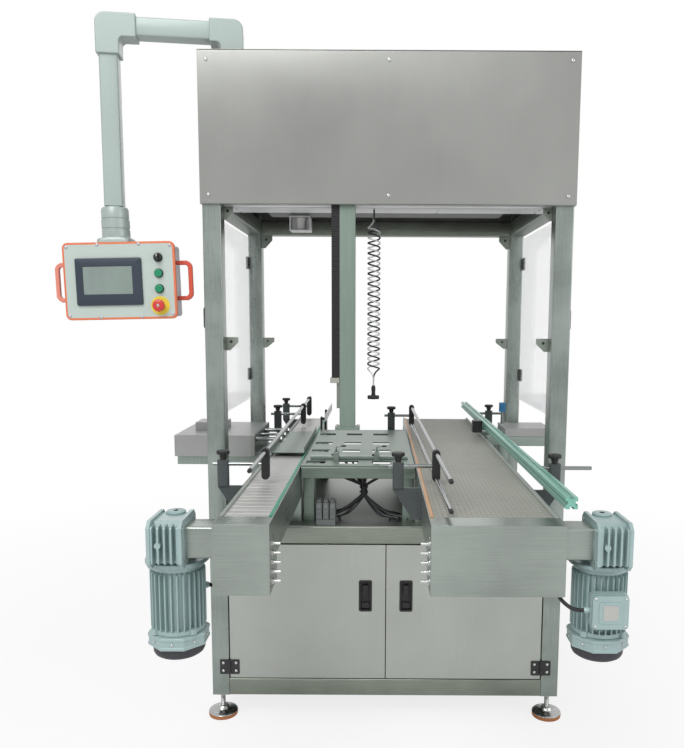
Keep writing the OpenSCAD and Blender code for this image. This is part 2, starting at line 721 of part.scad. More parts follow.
module pusher_cylinder() color("white") {
    difference() {
        span(end_plate_x, [pusher_y[0], pusher_y[1]], [pusher_z[0], pusher_z[1]]);
        for (y = pusher_rod_ys) rod_x(longer(end_plate_x), [y, pusher_rod_z], pusher_rod_r + fit);
        rod_x(longer(end_plate_x), [cylinder_y, pusher_rod_z], piston_r + fit);
    }
    difference() {
        rod_x([pusher_x[0] + sheet, pusher_x[1]], [cylinder_y, pusher_rod_z], cylinder_r);
        rod_x([pusher_x[0] + 4 * sheet, pusher_x[1] + cut], [cylinder_y, pusher_rod_z], piston_r + seat);
    }
}
pusher_rod_in = 200;
module pusher_slide() color("lightsteelblue") {
    back = pusher_x[1] - pusher_rod_in;
    low = platform_z + head_lift;
    for (y = pusher_rod_ys) rod_x([back, head_x[0]], [y, pusher_rod_z], pusher_rod_r);
    rod_x([back, head_x[0]], [cylinder_y, pusher_rod_z], piston_r);
    span([head_x[0], head_x[0] + head_t], head_y, [low, low + head_tall]);
    span([head_x[0] + head_t, head_x[1] - head_t], head_y, [low, low + head_t]);
    span([head_x[1] - head_t, head_x[1]], head_y, [low, low + head_tall]);
}

// Guide brackets: [face of the conveyor, way out from it, place along it]
post_w = 33;
post_d = 24;
post_low = 880;
post_high = rod_z0 + 13;
gusset_t = 8;
gusset_low = side_low + 2;
gusset_top = 876;
left_ys = [-230, 1000, 1320];
centre_ys = [-250, 960];
right_ys = [-270, 1060];
brackets = [for (y = left_ys) [narrow_lo, -1, y], for (y = centre_ys) [wide_lo, -1, y],
    for (y = right_ys) [wide_hi, 1, y]];
module guide_brackets() color("darkslategray") for (b = brackets)
    translate([b[0], b[2], 0]) mirror([b[1] < 0 ? 1 : 0, 0, 0]) difference() {
        union() {
            span([bracket_out - post_w / 2, bracket_out + post_w / 2], [-post_d / 2, post_d / 2],
                [post_low, post_high]);
            slab_y([-gusset_t / 2, gusset_t / 2]) polygon([[0, gusset_low], [bracket_out * 0.35, gusset_low],
                [bracket_out + post_w / 2, gusset_top], [bracket_out + post_w / 2, post_low],
                [0, post_low]]);
        }
        rod_x([bracket_out - post_w, bracket_out + post_w], [0, rod_z0], rod_r + fit);
    }
collar_r = 11;
collar_h = 16;
knob_r = 20;
knob_h = 13;
knob_sides = 10;
module bracket_knobs() color("black") for (b = brackets) translate([b[0] + b[1] * bracket_out, b[2], post_high]) {
    cylinder(h = collar_h, r = collar_r);
    translate([0, 0, collar_h]) cylinder(h = knob_h, r = knob_r, $fn = knob_sides);
}

// Guide clamps: a black plate with a hole at each end for a tube, on the end of a cross rod
upper_rise = 38;
lower_drop = 35;
upper_z = rod_z0 + upper_rise;
lower_z = rod_z0 - lower_drop;
clamp_end_r = 12;
clamp_t = 20;
module guide_clamp(x, y) translate([x, y, 0]) difference() {
    union() {
        for (z = [upper_z, lower_z]) rod_y([-clamp_t / 2, clamp_t / 2], [0, z], clamp_end_r);
        span([-clamp_end_r, clamp_end_r], [-clamp_t / 2, clamp_t / 2], [lower_z, upper_z]);
    }
    for (z = [upper_z, lower_z]) rod_y([-clamp_t, clamp_t], [0, z], guide_r + seat);
    rod_x([-clamp_end_r - cut, 0], [0, rod_z0], rod_r + fit / 2);
}
// A guide tube runs from its front to its rear end; shift() is its place across at a point along
function shift(g, y) = g[0][0] + (g[1][0] - g[0][0]) * (y - g[0][1]) / (g[1][1] - g[0][1]);
module guide_tube(g, z) {
    run = g[1] - g[0];
    translate([g[0][0], g[0][1], z]) rotate([0, 0, atan2(run[1], run[0])]) rotate([0, 90, 0]) difference() {
        cylinder(h = norm(run), r = guide_r);
        translate([0, 0, -cut]) cylinder(h = norm(run) + 2 * cut, r = guide_r / 2);
    }
}
left_line = [[-368, -529], [-382, 1400]];
centre_line = [[153, -650], [125, 1012]];
centre_low_line = [[153, -662], [125, 985]];
rod_tail = 32;
module left_guide() {
    for (y = left_ys) {
        x = shift(left_line, y);
        color("silver") rod_x([narrow_lo - bracket_out - rod_tail, x - seat], [y, rod_z0], rod_r);
        color("black") guide_clamp(x, y);
    }
    color("silver") guide_tube(left_line, upper_z);
}
module centre_guide() {
    for (y = centre_ys) {
        x = shift(centre_line, y);
        color("silver") rod_x([wide_lo - bracket_out - rod_tail, x - seat], [y, rod_z0], rod_r);
        color("black") guide_clamp(x, y);
    }
    color("silver") guide_tube(centre_line, upper_z);
    color("silver") guide_tube(centre_low_line, lower_z);
}
profile = 30;
profile_slot = 8;
profile_deep = 9;
right_line = [[437, -704], [424, 1436]];
right_tail = 110;
stop_block = [40, 40, 50];
stop_block_y = 690;
module right_guide() {
    run = right_line[1] - right_line[0];
    color("aquamarine") translate([right_line[0][0], right_line[0][1], rod_z0])
        rotate([0, 0, atan2(run[1], run[0])]) rotate([90, 0, 90]) linear_extrude(norm(run)) difference() {
            square(profile, center = true);
            for (a = [0 : 90 : 270]) rotate(a) translate([profile / 2 - profile_deep, -profile_slot / 2])
                square([profile_deep + cut, profile_slot]);
        }
    for (y = right_ys) {
        face = shift(right_line, y) + profile / 2;
        color("silver") rod_x([face + seat, wide_hi + bracket_out + right_tail], [y, rod_z0], rod_r);
    }
    block_x = shift(right_line, stop_block_y) - profile / 2 - seat;
    color("black") span([block_x - stop_block[0], block_x],
        [stop_block_y - stop_block[1] / 2, stop_block_y + stop_block[1] / 2],
        [rod_z0 + profile / 2 - stop_block[2], rod_z0 + profile / 2]);
}
// White lane guide on the narrow conveyor's inner side, behind the platform
lane_off = 20;
lane_x = narrow_hi + lane_off;
lane_start = 40;
lane_stop = 60;
lane_y = [platform_d + lane_start, rear_y - lane_stop];
lane_t = 8;
lane_tall = 34;
lane_post_ys = [900, 1180];
module lane_guide() {
    color("white") span([lane_x, lane_x + lane_t], lane_y, [rod_z0 - lane_tall / 2, rod_z0 + lane_tall / 2]);
    color("black") for (y = lane_post_ys) {
        span([narrow_hi, narrow_hi + gusset_t], [y - post_d / 2, y + post_d / 2], [gusset_low, rod_z0]);
        rod_x([narrow_hi + gusset_t, lane_x], [y, rod_z0 - lane_tall / 4], rod_r);
    }
}
// Sensor on a post above the side stop's cover
sensor_x = 518;
sensor_y = 800;
sensor_w = 26;
sensor_z = [987, 1027];
sensor_post_r = 6;
module side_sensor() {
    color("silver") rod_z([stop_z[1], sensor_z[0]], [sensor_x, sensor_y], sensor_post_r);
    color("steelblue") span([sensor_x - sensor_w / 2, sensor_x + sensor_w / 2],
        [sensor_y - sensor_w / 2, sensor_y + sensor_w / 2], sensor_z);
}

// Gantry carriage: a sleeve on the beam's front face that the lift column slides through
column_y = [4, 4 + column_d];
duct_w = 26;
column_span = [-column_x - column_w / 2, -column_x + column_w / 2];
duct_x = [column_span[0] - duct_w, column_span[0]];
sleeve_out = 16;
carriage_low = hood_low + 15;
carriage_h = 95;
carriage_front = 8;
hook_t = 10;
hook_len = 40;
module gantry_carriage() color("dimgray") {
    x = [duct_x[0] - sleeve_out, column_span[1] + sleeve_out];
    y1 = beam_y[0] - seat;
    z = [carriage_low, carriage_low + carriage_h];
    difference() {
        span(x, [column_y[0] - carriage_front, y1], z);
        span([duct_x[0] - seat, column_span[1] + seat], [column_y[0] - seat, column_y[1] + seat], longer(z));
    }
    span(x, [column_y[1] + seat, y1], [z[1], beam_top + seat]);
    span(x, [column_y[1] + seat, y1 + hook_len], [beam_top + seat, beam_top + seat + hook_t]);
}
foot_w = 82;
foot_d = 52;
foot_t = 10;
foot_hole_x = 60;
foot_hole_y = 32;
foot_hole_r = 3.3;
column_wall = 4;
module lift_column() color("darkseagreen") {
    tube_z(column_span, column_y, [column_low, column_low + column_len], column_wall);
    y = (column_y[0] + column_y[1]) / 2;
    difference() {
        span([-column_x - foot_w / 2, -column_x + foot_w / 2], [y - foot_d / 2, y + foot_d / 2],
            [column_low - foot_t, column_low]);
        for (a = [-1, 1], b = [-1, 1])
            rod_z(longer([column_low - foot_t, column_low]), [-column_x + a * foot_hole_x / 2, y + b * foot_hole_y / 2],
                foot_hole_r);
    }
}
belt_clamp_z = [1175, 1192];
rail_low = 1090;
rail_w = 10;
clamp_over = 5;
module lift_belt() {
    color("black") span(duct_x, inner(column_y, clamp_over), [belt_clamp_z[1], column_low + column_len]);
    color("beige") span([duct_x[0] - clamp_over, duct_x[1]], column_y, belt_clamp_z);
    color("tan") span([duct_x[1] - rail_w, duct_x[1]], inner(column_y, 2 * clamp_over), [rail_low, belt_clamp_z[0]]);
}

// Hanging control panel arm. It turns about the base axis on the hood, and is drawn along -X from it.
arm_inset = 95;
arm_x = -frame_w / 2 + arm_inset;
arm_y = 62;
arm_yaw = 7.9;
arm_rise = 70;
arm_z = hood_high + arm_rise;
elbow = 72;
elbow_r = 30;
elbow_run = 70;
corner_run = 88;
drop_end = 1742;
drop_tube = arm_tube - 1 * seat;
arm_wall = 4;
bush_h = 30;
swivel_r = 16;
module at_arm() translate([arm_x, arm_y, 0]) rotate([0, 0, arm_yaw]) children();
// Elbow outline: an upright leg about X 0 and a level leg towards -X, with a round outer corner
module elbow_outline(h, run, drop) {
    difference() {
        union() {
            translate([-run, -h / 2]) square([run + h / 2, h]);
            translate([-h / 2, -drop]) square([h, drop + h / 2]);
        }
        translate([h / 2 - elbow_r, h / 2 - elbow_r]) difference() {
            square(elbow_r + cut);
            circle(elbow_r);
        }
    }
}
module arm_elbows() color("darkseagreen") at_arm() {
    foot = hood_high + turn_base_h + seat;
    difference() {
        translate([0, 0, arm_z]) slab_y([-elbow / 2, elbow / 2]) elbow_outline(elbow, elbow_run, arm_z - foot);
        rod_z([foot - cut, hood_high + turn_base_h + turn_pin_h + seat], [0, 0], turn_pin_r + fit);
    }
    translate([-arm_len, 0, arm_z]) mirror([1, 0, 0]) slab_y([-elbow / 2, elbow / 2])
        elbow_outline(elbow, corner_run, corner_run);
}
module arm_tubes() color("darkseagreen") at_arm() {
    t = arm_tube / 2;
    tube_x([-arm_len + corner_run, -elbow_run], [-t, t], [arm_z - t, arm_z + t], arm_wall);
    tube_z([-arm_len - t, -arm_len + t], [-t, t], [drop_end, arm_z - corner_run], arm_wall);
    bush = inner([-t, t], arm_wall);
    difference() {
        span(bush - [arm_len, arm_len], bush, [drop_end, drop_end + bush_h]);
        rod_z(longer([drop_end, drop_end + bush_h]), [-arm_len, 0], swivel_r + fit);
    }
}

// Control panel, hung at a slight tilt, facing the front
drop_at = [arm_x - arm_len * cos(arm_yaw), arm_y - arm_len * sin(arm_yaw)];
panel_tilt = 1.4;
panel_off = 18;
panel_lean = 5;
panel_cx = drop_at[0] + panel_off + panel_lean;
panel_cz = 1503.6;
panel_front = drop_at[1] - panel_d / 2;
rim_w = 8;
rim_y = [2, 14];
rim_corner = 18;
plate_t = 3;
module at_panel() translate([panel_cx, panel_front, panel_cz]) rotate([0, -panel_tilt, 0]) children();
coupling_w = 88;
coupling_low = 22;
coupling_flange = 106;
coupling_flange_t = 14;
coupling_gap = 1.6;
module panel_case() {
    color("lightgray") rod_z([drop_end - bush_h, drop_end + bush_h], drop_at, swivel_r);
    w = panel_w - 2 * rim_w;
    h = panel_h - 2 * rim_w;
    r = rim_corner - rim_w;
    color("lightgray") at_panel() {
        difference() {
            slab_y([rim_y[0] + plate_t, panel_d]) round_rect(w, h, r);
            slab_y([rim_y[0] + plate_t - cut, panel_d - sheet]) round_rect(w - 2 * sheet, h - 2 * sheet, r);
        }
        difference() {
            slab_y([rim_y[0], rim_y[0] + plate_t]) round_rect(w, h, r);
            for (p = button_places) translate(p) slab_y([0, 2 * rim_y[0] + plate_t]) circle(hole_r);
        }
        top = panel_h / 2;
        neck = drop_end - panel_cz - coupling_gap;
        x = -panel_off;
        y = panel_d / 2;
        span([x - coupling_flange / 2, x + coupling_flange / 2], [y - coupling_w / 2, y + coupling_w / 2],
            [top - rim_w, top + coupling_flange_t]);
        span([x - coupling_w / 2, x + coupling_w / 2], [y - coupling_w / 2, y + coupling_w / 2],
            [top + coupling_flange_t, neck]);
    }
}
module panel_rim() color("orangered") at_panel() difference() {
    slab_y(rim_y) round_rect(panel_w, panel_h, rim_corner);
    slab_y(longer(rim_y)) round_rect(panel_w - 2 * rim_w, panel_h - 2 * rim_w, rim_corner - rim_w);
    span([-panel_off - coupling_flange / 2 - seat, -panel_off + coupling_flange / 2 + seat],
        [panel_d / 2 - coupling_w / 2 - seat, panel_d], [panel_h / 2 - rim_w - cut, panel_h]);
}
handle_out = 44;
handle_h = 128;
handle_t = 14;
handle_r = 18;
module panel_handles() color("tomato") at_panel() for (m = [0, 1]) mirror([m, 0, 0])
    slab_y([panel_d / 2 - handle_t / 2, panel_d / 2 + handle_t / 2]) difference() {
        translate([panel_w / 2 - rim_w, 0]) intersection() {
            round_rect(2 * (handle_out + rim_w), handle_h, handle_r);
            translate([0, -handle_h]) square([2 * handle_h, 2 * handle_h]);
        }
        translate([panel_w / 2 - rim_w, 0])
            round_rect(2 * (handle_out + rim_w - handle_t), handle_h - 2 * handle_t, handle_r / 3);
    }
screen_at = [-33, -2.4];
screen_w = 212;
screen_h = 150;
glass_w = 157;
glass_h = 88;
glass_at = [-36, 2];
screen_proud = 7;
glass_deep = 2;
module touch_screen() at_panel() {
    y = [rim_y[0] - screen_proud, rim_y[0]];
    color("darkslategray") difference() {
        translate([screen_at[0], 0, screen_at[1]]) slab_y(y) round_rect(screen_w, screen_h, rim_w);
        translate([glass_at[0], 0, glass_at[1]]) slab_y([y[0] - cut, y[0] + glass_deep])
            square([glass_w, glass_h], center = true);
    }
    color("lightsteelblue") translate([glass_at[0], 0, glass_at[1]]) slab_y([y[0] + glass_deep / 2, y[0] + glass_deep])
        square([glass_w, glass_h], center = true);
}
control_x = 127;
control_zs = [71.6, 22, -27, -81];
button_places = [for (z = control_zs) [control_x, 0, z]];
hole_r = 11.2;
collar_out = 14.5;
collar_t = 5;
cap_radius = 9.5;
stop_disc_r = 30;
stop_disc_t = 2;
button_body = 30;
module button_collars() at_panel() {
    for (n = [0 : 3]) translate(button_places[n]) {
        front = rim_y[0] - (n < 3 ? collar_t : stop_disc_t);
        color(n < 3 ? "dimgray" : "gold") difference() {
            union() {
                slab_y([front, rim_y[0]]) circle(n < 3 ? collar_out : stop_disc_r);
                slab_y([rim_y[0], rim_y[0] + button_body]) circle(hole_r - seat);
            }
            slab_y([front - cut, rim_y[0] + button_body + cut]) circle(cap_radius + seat);
        }
    }
}
cap_proud = 6;
cap_in = 24;
module button_cap(n) at_panel() translate(button_places[n])
    slab_y([rim_y[0] - collar_t - cap_proud, rim_y[0] + cap_in]) circle(cap_radius);
knob_w = 7;
knob_proud = 20;
module selector_knob() color("black") {
    button_cap(0);
    at_panel() translate(button_places[0]) slab_y([rim_y[0] - knob_proud, rim_y[0] - collar_t - cap_proud])
        square([knob_w, 2 * cap_radius], center = true);
}
module upper_button() color("green") button_cap(1);
module lower_button() color("green") button_cap(2);
stop_cap_r = 20;
stop_neck = 14;
stop_cap_t = 14;
module stop_button() color("red") at_panel() translate(button_places[3]) {
    front = rim_y[0] - stop_disc_t - stop_neck;
    slab_y([front - stop_cap_t, front]) circle(stop_cap_r);
    slab_y([front, rim_y[0] + cap_in]) circle(cap_radius);
}

// Swept round cords
function unit(v) = v / norm(v);
function heading(p, i) = unit(p[min(i + 1, len(p) - 1)] - p[max(i - 1, 0)]);
// A tube through the points p, with a direction that is never along it to measure its rings from
module sweep(p, r, sides, ref) {
    n = len(p);
    points = [for (i = [0 : n - 1]) let (t = heading(p, i), up = is_list(ref[0]) ? ref[i] : ref,
        a = unit(cross(t, up)), b = cross(a, t))
        for (k = [0 : sides - 1]) p[i] + r * (cos(360 * k / sides) * a + sin(360 * k / sides) * b)];
    walls = [for (i = [0 : n - 2], k = [0 : sides - 1]) let (a = i * sides + k, b = i * sides + (k + 1) % sides)
        each [[a, b, a + sides], [b, b + sides, a + sides]]];
    last = (n - 1) * sides;
    caps = [for (k = [1 : sides - 2]) each [[0, k + 1, k], [last, last + k, last + k + 1]]];
    polyhedron(points = points, faces = concat(walls, caps));
}
// Points of a smooth curve through the control points c, with m steps to each of its stretches
function curve(c, m) = let (n = len(c)) concat([for (i = [0 : n - 2], s = [0 : m - 1])
    let (u = s / m, a = c[max(i - 1, 0)], b = c[i], d = c[i + 1], e = c[min(i + 2, n - 1)])
    b + u * (d - a) / 2 + u * u * (a - 2.5 * b + 2 * d - e / 2) + u * u * u * (1.5 * (b - d) + (e - a) / 2)],
    [c[n - 1]]);

// The same curve with a short straight start and end, so that its end faces lie flat on what they meet
lead_share = 0.1;
function square_ends(c, m) = let (p = curve(c, m), n = len(c)) concat([c[0], c[0] + lead_share * (c[1] - c[0])],
    [for (i = [1 : len(p) - 2]) p[i]], [c[n - 1] + lead_share * (c[n - 2] - c[n - 1]), c[n - 1]]);

// Cables that the machine holds, under the platform and from the motors to the deck
cable_r = 5;
cable_sides = 8;
cable_steps = 3;
cable_routes = [
    [[-120, 200, 893], [-120, 200, 880], [-112, 160, 846], [-96, 100, 812], [-84, 62, 780], [-60, 50, 745],
        [20, 46, 715], [40, 60, 702], [40, 60, 690]],
    [[-60, 200, 893], [-60, 200, 880], [-62, 150, 850], [-64, 120, 820], [-66, 98, 780], [-74, 94, 750],
        [-130, 90, 730], [-216, 80, 714], [-230, 72, 702], [-230, 72, 690]],
    [[-200, 200, 893], [-200, 200, 880], [-180, 150, 850], [-140, 110, 826], [-106, 90, 794], [-40, 78, 752],
        [10, 92, 716], [28, 100, 702], [28, 100, 690]],
    [[40, 180, 893], [40, 180, 880], [20, 150, 846], [-30, 128, 822], [-74, 126, 786], [-150, 106, 760],
        [-222, 106, 722], [-232, 114, 702], [-232, 114, 690]],
    [[-90, 380, 893], [-90, 380, 880], [-90, 300, 830], [-92, 190, 804], [-96, 148, 776], [-180, 132, 750],
        [-214, 140, 716], [-215, 150, 702], [-215, 150, 690]],
];
motor_cable_r = 5;
motor_routes = [
    [[481, -684, 672], [470, -684, 672], [446, -684, 680], [420, -670, 706], [410, -600, 748], [408, -500, 764],
        [400, -300, 766], [380, -80, 756], [362, 30, 730], [360, 80, 702], [360, 80, 690]],
    [[-481, -516, 672], [-470, -516, 672], [-440, -500, 700], [-410, -420, 750], [-384, -300, 764],
        [-366, -80, 756], [-361, 30, 730], [-361, 80, 702], [-361, 80, 690]],
];
module cables() color("black") {
    for (c = cable_routes) sweep(square_ends(c, cable_steps), cable_r, cable_sides, [0.2, 0.9, 0.6]);
    for (c = motor_routes) sweep(square_ends(c, cable_steps), motor_cable_r, cable_sides, [0.9, 0.1, 0.6]);
}

// Curly cable and air hose, two starts of one coil, hung from the beam's underside
coil_at = [-46, 110];
coil_turn_r = 20;
coil_turns = 14;
coil_rings = 8;
coil_pitch = 34;
coil_lead = 20;
coil_top = hood_low - 2 * coil_lead - coil_pitch / 2;
coil_tube_r = 2.8;
coil_sides = 6;
coil_steps = coil_turns * coil_rings;
ease = coil_rings / 2;
function before(s) = s < 0 ? s : s > coil_steps ? s - coil_steps : 0;
// Turning slows to nothing over half a turn at each end, while the fall goes on
function coil_angle(s) = let (e = before(s), q = e * e / coil_rings)
    360 / coil_rings * (s + (e < 0 ? q : -q));
function coil_z(s) = let (e = before(s), q = coil_lead * e * e / (ease * ease))
    coil_top - coil_pitch * s / coil_rings + (e < 0 ? q : -q);
function coil_dir(s, a) = [cos(coil_angle(s) + a), sin(coil_angle(s) + a), 0];
function coil_points(a) = let (first = coil_dir(-ease, a), last = coil_dir(coil_steps + ease, a)) concat(
    [concat([coil_at[0], coil_at[1]] + coil_turn_r * [first[0], first[1]], [hood_low])],
    [for (s = [-ease : coil_steps + ease]) let (d = coil_dir(s, a))
        [coil_at[0] + coil_turn_r * d[0], coil_at[1] + coil_turn_r * d[1], coil_z(s)]],
    [concat([coil_at[0], coil_at[1]] + coil_turn_r * [last[0], last[1]], [coil_z(coil_steps + ease) - coil_lead])]);
function coil_refs(a) = concat([coil_dir(-ease, a)], [for (s = [-ease : coil_steps + ease]) coil_dir(s, a)],
    [coil_dir(coil_steps + ease, a)]);
black_turn = 0;
clear_turn = 180;
coil_gaps = let (p = coil_points(black_turn), q = coil_points(clear_turn)) [
    min([for (i = [0 : len(p) - 1], j = [i + coil_rings - 2 : 1 : min(i + 2 * coil_rings, len(p) - 1)]) norm(p[i] - p[j])]),
    min([for (i = [0 : len(p) - 1], j = [max(0, i - coil_rings) : min(i + coil_rings, len(q) - 1)]) norm(p[i] - q[j])])];
echo("least gap of a coil to itself, and of the two to each other", coil_gaps - [1, 1] * 2 * coil_tube_r);
plug_r2 = 7;
plug_len = 46;
fitting_r = 8;
fitting_len = 40;
module coil_cable() {
    p = coil_points(black_turn);
    color("black") sweep(p, coil_tube_r, coil_sides, coil_refs(black_turn));
    end = p[len(p) - 1];
    color("black") rod_z([end[2] - plug_len, end[2]], end, plug_r2);
}
module coil_hose() {
    p = coil_points(clear_turn);
    color("lightgray") sweep(p, coil_tube_r, coil_sides, coil_refs(clear_turn));
    end = p[len(p) - 1];
    color("black") {
        rod_z([end[2] - fitting_len, end[2]], end, fitting_r);
        rod_x([end[0] - fitting_len / 2, end[0] + fitting_len / 2], [end[1], end[2] - fitting_len], fitting_r);
    }
}

// The origin is below the middle of the machine: its widest pieces are the panel's left handle and the right
// guide's rods, and its longest reach is from the gearboxes' front to the right guide's rear end
handle_reach = (panel_w / 2 + handle_out) * cos(panel_tilt) + (handle_h / 2 - handle_r) * sin(panel_tilt);
x_min = panel_cx - handle_reach;
x_max = max(stop_x[1], wide_hi + bracket_out + right_tail);
y_min = drive_y - gear_l / 2;
y_max = right_line[1][1];
module place() translate([-(x_min + x_max) / 2, -(y_min + y_max) / 2, 0]) children();

place() frame_posts();
place() cabinet_rails();
place() hood_rails();
place() cabinet_panels();
place() foot_pads();
place() levelling_feet();
place() hinges_and_gussets();
place() hood_covers();
place() fasteners();
place() gantry_beam();
place() ceiling_lamp();
place() left_conveyor_frame();
place() right_conveyor_frame();
place() left_belt();
place() right_belt();
place() support_legs();
place() wear_strips();
place() gearboxes();
place() valve_block();
place() left_motor();
place() right_motor();
place() fan_covers();
place() platform_frame();
place() platform_plate();
place() platform_clamps();
place() pusher_covers();
place() pusher_cylinder();
place() guide_brackets();
place() bracket_knobs();
place() lane_guide();
place() side_sensor();
place() cables();
place() coil_cable();
place() coil_hose();
place() gantry_carriage();
place() lift_column();
place() lift_belt();
place() arm_tubes();
place() arm_elbows();
place() panel_case();
place() panel_rim();
place() panel_handles();
place() touch_screen();
place() button_collars();
place() selector_knob();
place() upper_button();
place() lower_button();
place() stop_button();
place() left_cabinet_door();
place() right_cabinet_door();
place() left_guard_door();
place() right_guard_door();
place() pusher_slide();
place() left_guide();
place() centre_guide();
place() right_guide();
place() left_drive_shaft();
place() right_drive_shaft();
place() left_idler_shaft();
place() right_idler_shaft();
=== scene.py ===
import math

import bpy
import numpy as np
from mathutils import Matrix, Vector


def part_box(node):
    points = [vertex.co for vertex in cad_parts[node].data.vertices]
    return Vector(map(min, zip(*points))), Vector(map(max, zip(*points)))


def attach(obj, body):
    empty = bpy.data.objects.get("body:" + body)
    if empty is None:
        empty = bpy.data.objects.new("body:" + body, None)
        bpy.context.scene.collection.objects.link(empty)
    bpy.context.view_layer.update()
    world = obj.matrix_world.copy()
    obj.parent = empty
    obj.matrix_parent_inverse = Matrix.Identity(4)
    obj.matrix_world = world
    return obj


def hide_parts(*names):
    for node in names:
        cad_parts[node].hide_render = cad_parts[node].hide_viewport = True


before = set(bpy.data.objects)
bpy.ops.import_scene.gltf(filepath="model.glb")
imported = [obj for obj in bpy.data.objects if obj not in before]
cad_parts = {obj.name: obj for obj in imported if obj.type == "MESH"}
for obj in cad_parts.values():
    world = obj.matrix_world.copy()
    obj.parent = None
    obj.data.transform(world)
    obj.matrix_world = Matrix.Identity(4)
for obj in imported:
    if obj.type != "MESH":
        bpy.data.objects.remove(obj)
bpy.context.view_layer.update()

# The camera stood about 2.4 m in front of the machine, at chest height, and looked a little down.
# Places are given in millimetres from the middle of the frame's front, on the floor, as the frame's
# posts show it, and in_row() takes them to the row's metres.
posts_low, posts_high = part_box("frame_posts")
FRAME_MIDDLE = (posts_low[0] + posts_high[0]) / 2
FRAME_FRONT = posts_low[1]


def in_row(points):
    """Millimetres from the frame's front middle to the row's metres: divided by 1000, moved by the posts' place."""
    p = np.atleast_2d(np.asarray(points, float)) / 1000
    return p + (FRAME_MIDDLE, FRAME_FRONT, 0)


EYE = (-29.7, -2442.7, 1376.9)
LOOKS_DOWN = 6.767
LEANS = 0.3
FOCUS_PIXELS = 740
PICTURE = (684, 748)
SENSOR = 36
SIGHT_PIXEL = (378.0, 409.8)
camera_data = bpy.data.cameras.new("camera")
camera_data.sensor_fit = "VERTICAL"
camera_data.sensor_height = SENSOR
camera_data.sensor_width = SENSOR
camera_data.lens = FOCUS_PIXELS * SENSOR / PICTURE[1]
camera_data.shift_x = (PICTURE[0] / 2 - SIGHT_PIXEL[0]) / PICTURE[1]
camera_data.shift_y = (SIGHT_PIXEL[1] - PICTURE[1] / 2) / PICTURE[1]
camera_data.clip_end = 60
camera = bpy.data.objects.new("camera", camera_data)
bpy.context.scene.collection.objects.link(camera)
camera.matrix_world = (
    Matrix.Translation(in_row(EYE)[0])
    @ Matrix.Rotation(math.radians(90 - LOOKS_DOWN), 4, "X")
    @ Matrix.Rotation(math.radians(LEANS), 4, "Z")
)
bpy.context.scene.camera = camera
bpy.context.scene.view_settings.view_transform = "Standard"

# A black curly signal cable and a clear curly air hose hang side by side from the gantry beam.
# Both are springs wound from extruded tube. The cable ends in a moulded plug and the hose in two
# push-in fittings, all hanging loose.
COIL_MIDDLE = (-46, 110)
COIL_RADIUS = 20
COIL_TURNS = 14
COIL_PITCH = 34
COIL_LEAD = 20
BEAM_UNDERSIDE = 1750
COIL_TOP = BEAM_UNDERSIDE - 2 * COIL_LEAD - COIL_PITCH / 2
CORD_RADIUS = 2.8


def curly_path(start_turn, per_turn=24):
    """A helix whose turning eases to nothing over half a turn at each end while it goes on falling, with a
    short straight lead above and below."""
    ease = 0.5
    s = np.linspace(-ease, COIL_TURNS + ease, int((COIL_TURNS + 2 * ease) * per_turn) + 1)
    over = np.where(s < 0, s, np.where(s > COIL_TURNS, s - COIL_TURNS, 0))
    sign = np.where(over < 0, 1, -1)
    angle = 2 * math.pi * (s + sign * over**2) + math.radians(start_turn)
    height = COIL_TOP - COIL_PITCH * s + sign * COIL_LEAD * (over / ease) ** 2
    ring = np.c_[
        COIL_MIDDLE[0] + COIL_RADIUS * np.cos(angle), COIL_MIDDLE[1] + COIL_RADIUS * np.sin(angle), height
    ]
    above = ring[0] + np.outer(np.linspace(1, 0.15, 6), (0, 0, BEAM_UNDERSIDE - ring[0][2]))
    below = ring[-1] - np.outer(np.linspace(0.15, 1, 6), (0, 0, COIL_LEAD))
    return np.vstack([above, ring, below])


def unit(v):
    """Each row of v divided by its length."""
    return v / np.linalg.norm(v, axis=-1, keepdims=True)


def tube(path, radius, sides=12, keep=(0.13, 0.31, 0.94)):
    """A ring of points about each point of the path, square to it: path + r (cos a * side + sin a * up). The
    side is carried along from ring to ring, so the tube doesn't twist. Both ends are closed."""
    path = np.asarray(path, float)
    heading = unit(np.gradient(path, axis=0))
    side = np.empty_like(heading)
    first = np.cross(heading[0], keep)
    side[0] = first / np.linalg.norm(first)
    for i in range(1, len(path)):
        s = side[i - 1] - heading[i] * side[i - 1].dot(heading[i])
        side[i] = s / np.linalg.norm(s)
    up = np.cross(heading, side)
    a = np.linspace(0, 2 * math.pi, sides, endpoint=False)
    r = np.broadcast_to(np.asarray(radius, float), (len(path),))
    points = path[:, None] + r[:, None, None] * (
        np.cos(a)[None, :, None] * side[:, None] + np.sin(a)[None, :, None] * up[:, None]
    )
    return points.reshape(-1, 3), grid_faces(len(path), sides, around=True, caps=True)


def grid_faces(rows, columns, around=False, caps=False):
    """Four-sided faces between neighbouring points of a grid, closed round the columns if asked, with one
    many-sided face over the first and last row."""
    i, k = np.meshgrid(np.arange(rows - 1), np.arange(columns if around else columns - 1), indexing="ij")
    a = i * columns + k
    b = i * columns + (k + 1) % columns
    faces = np.stack([a, b, b + columns, a + columns], -1).reshape(-1, 4).tolist()
    if caps:
        faces.append(list(range(columns))[::-1])
        faces.append([(rows - 1) * columns + k for k in range(columns)])
    return faces


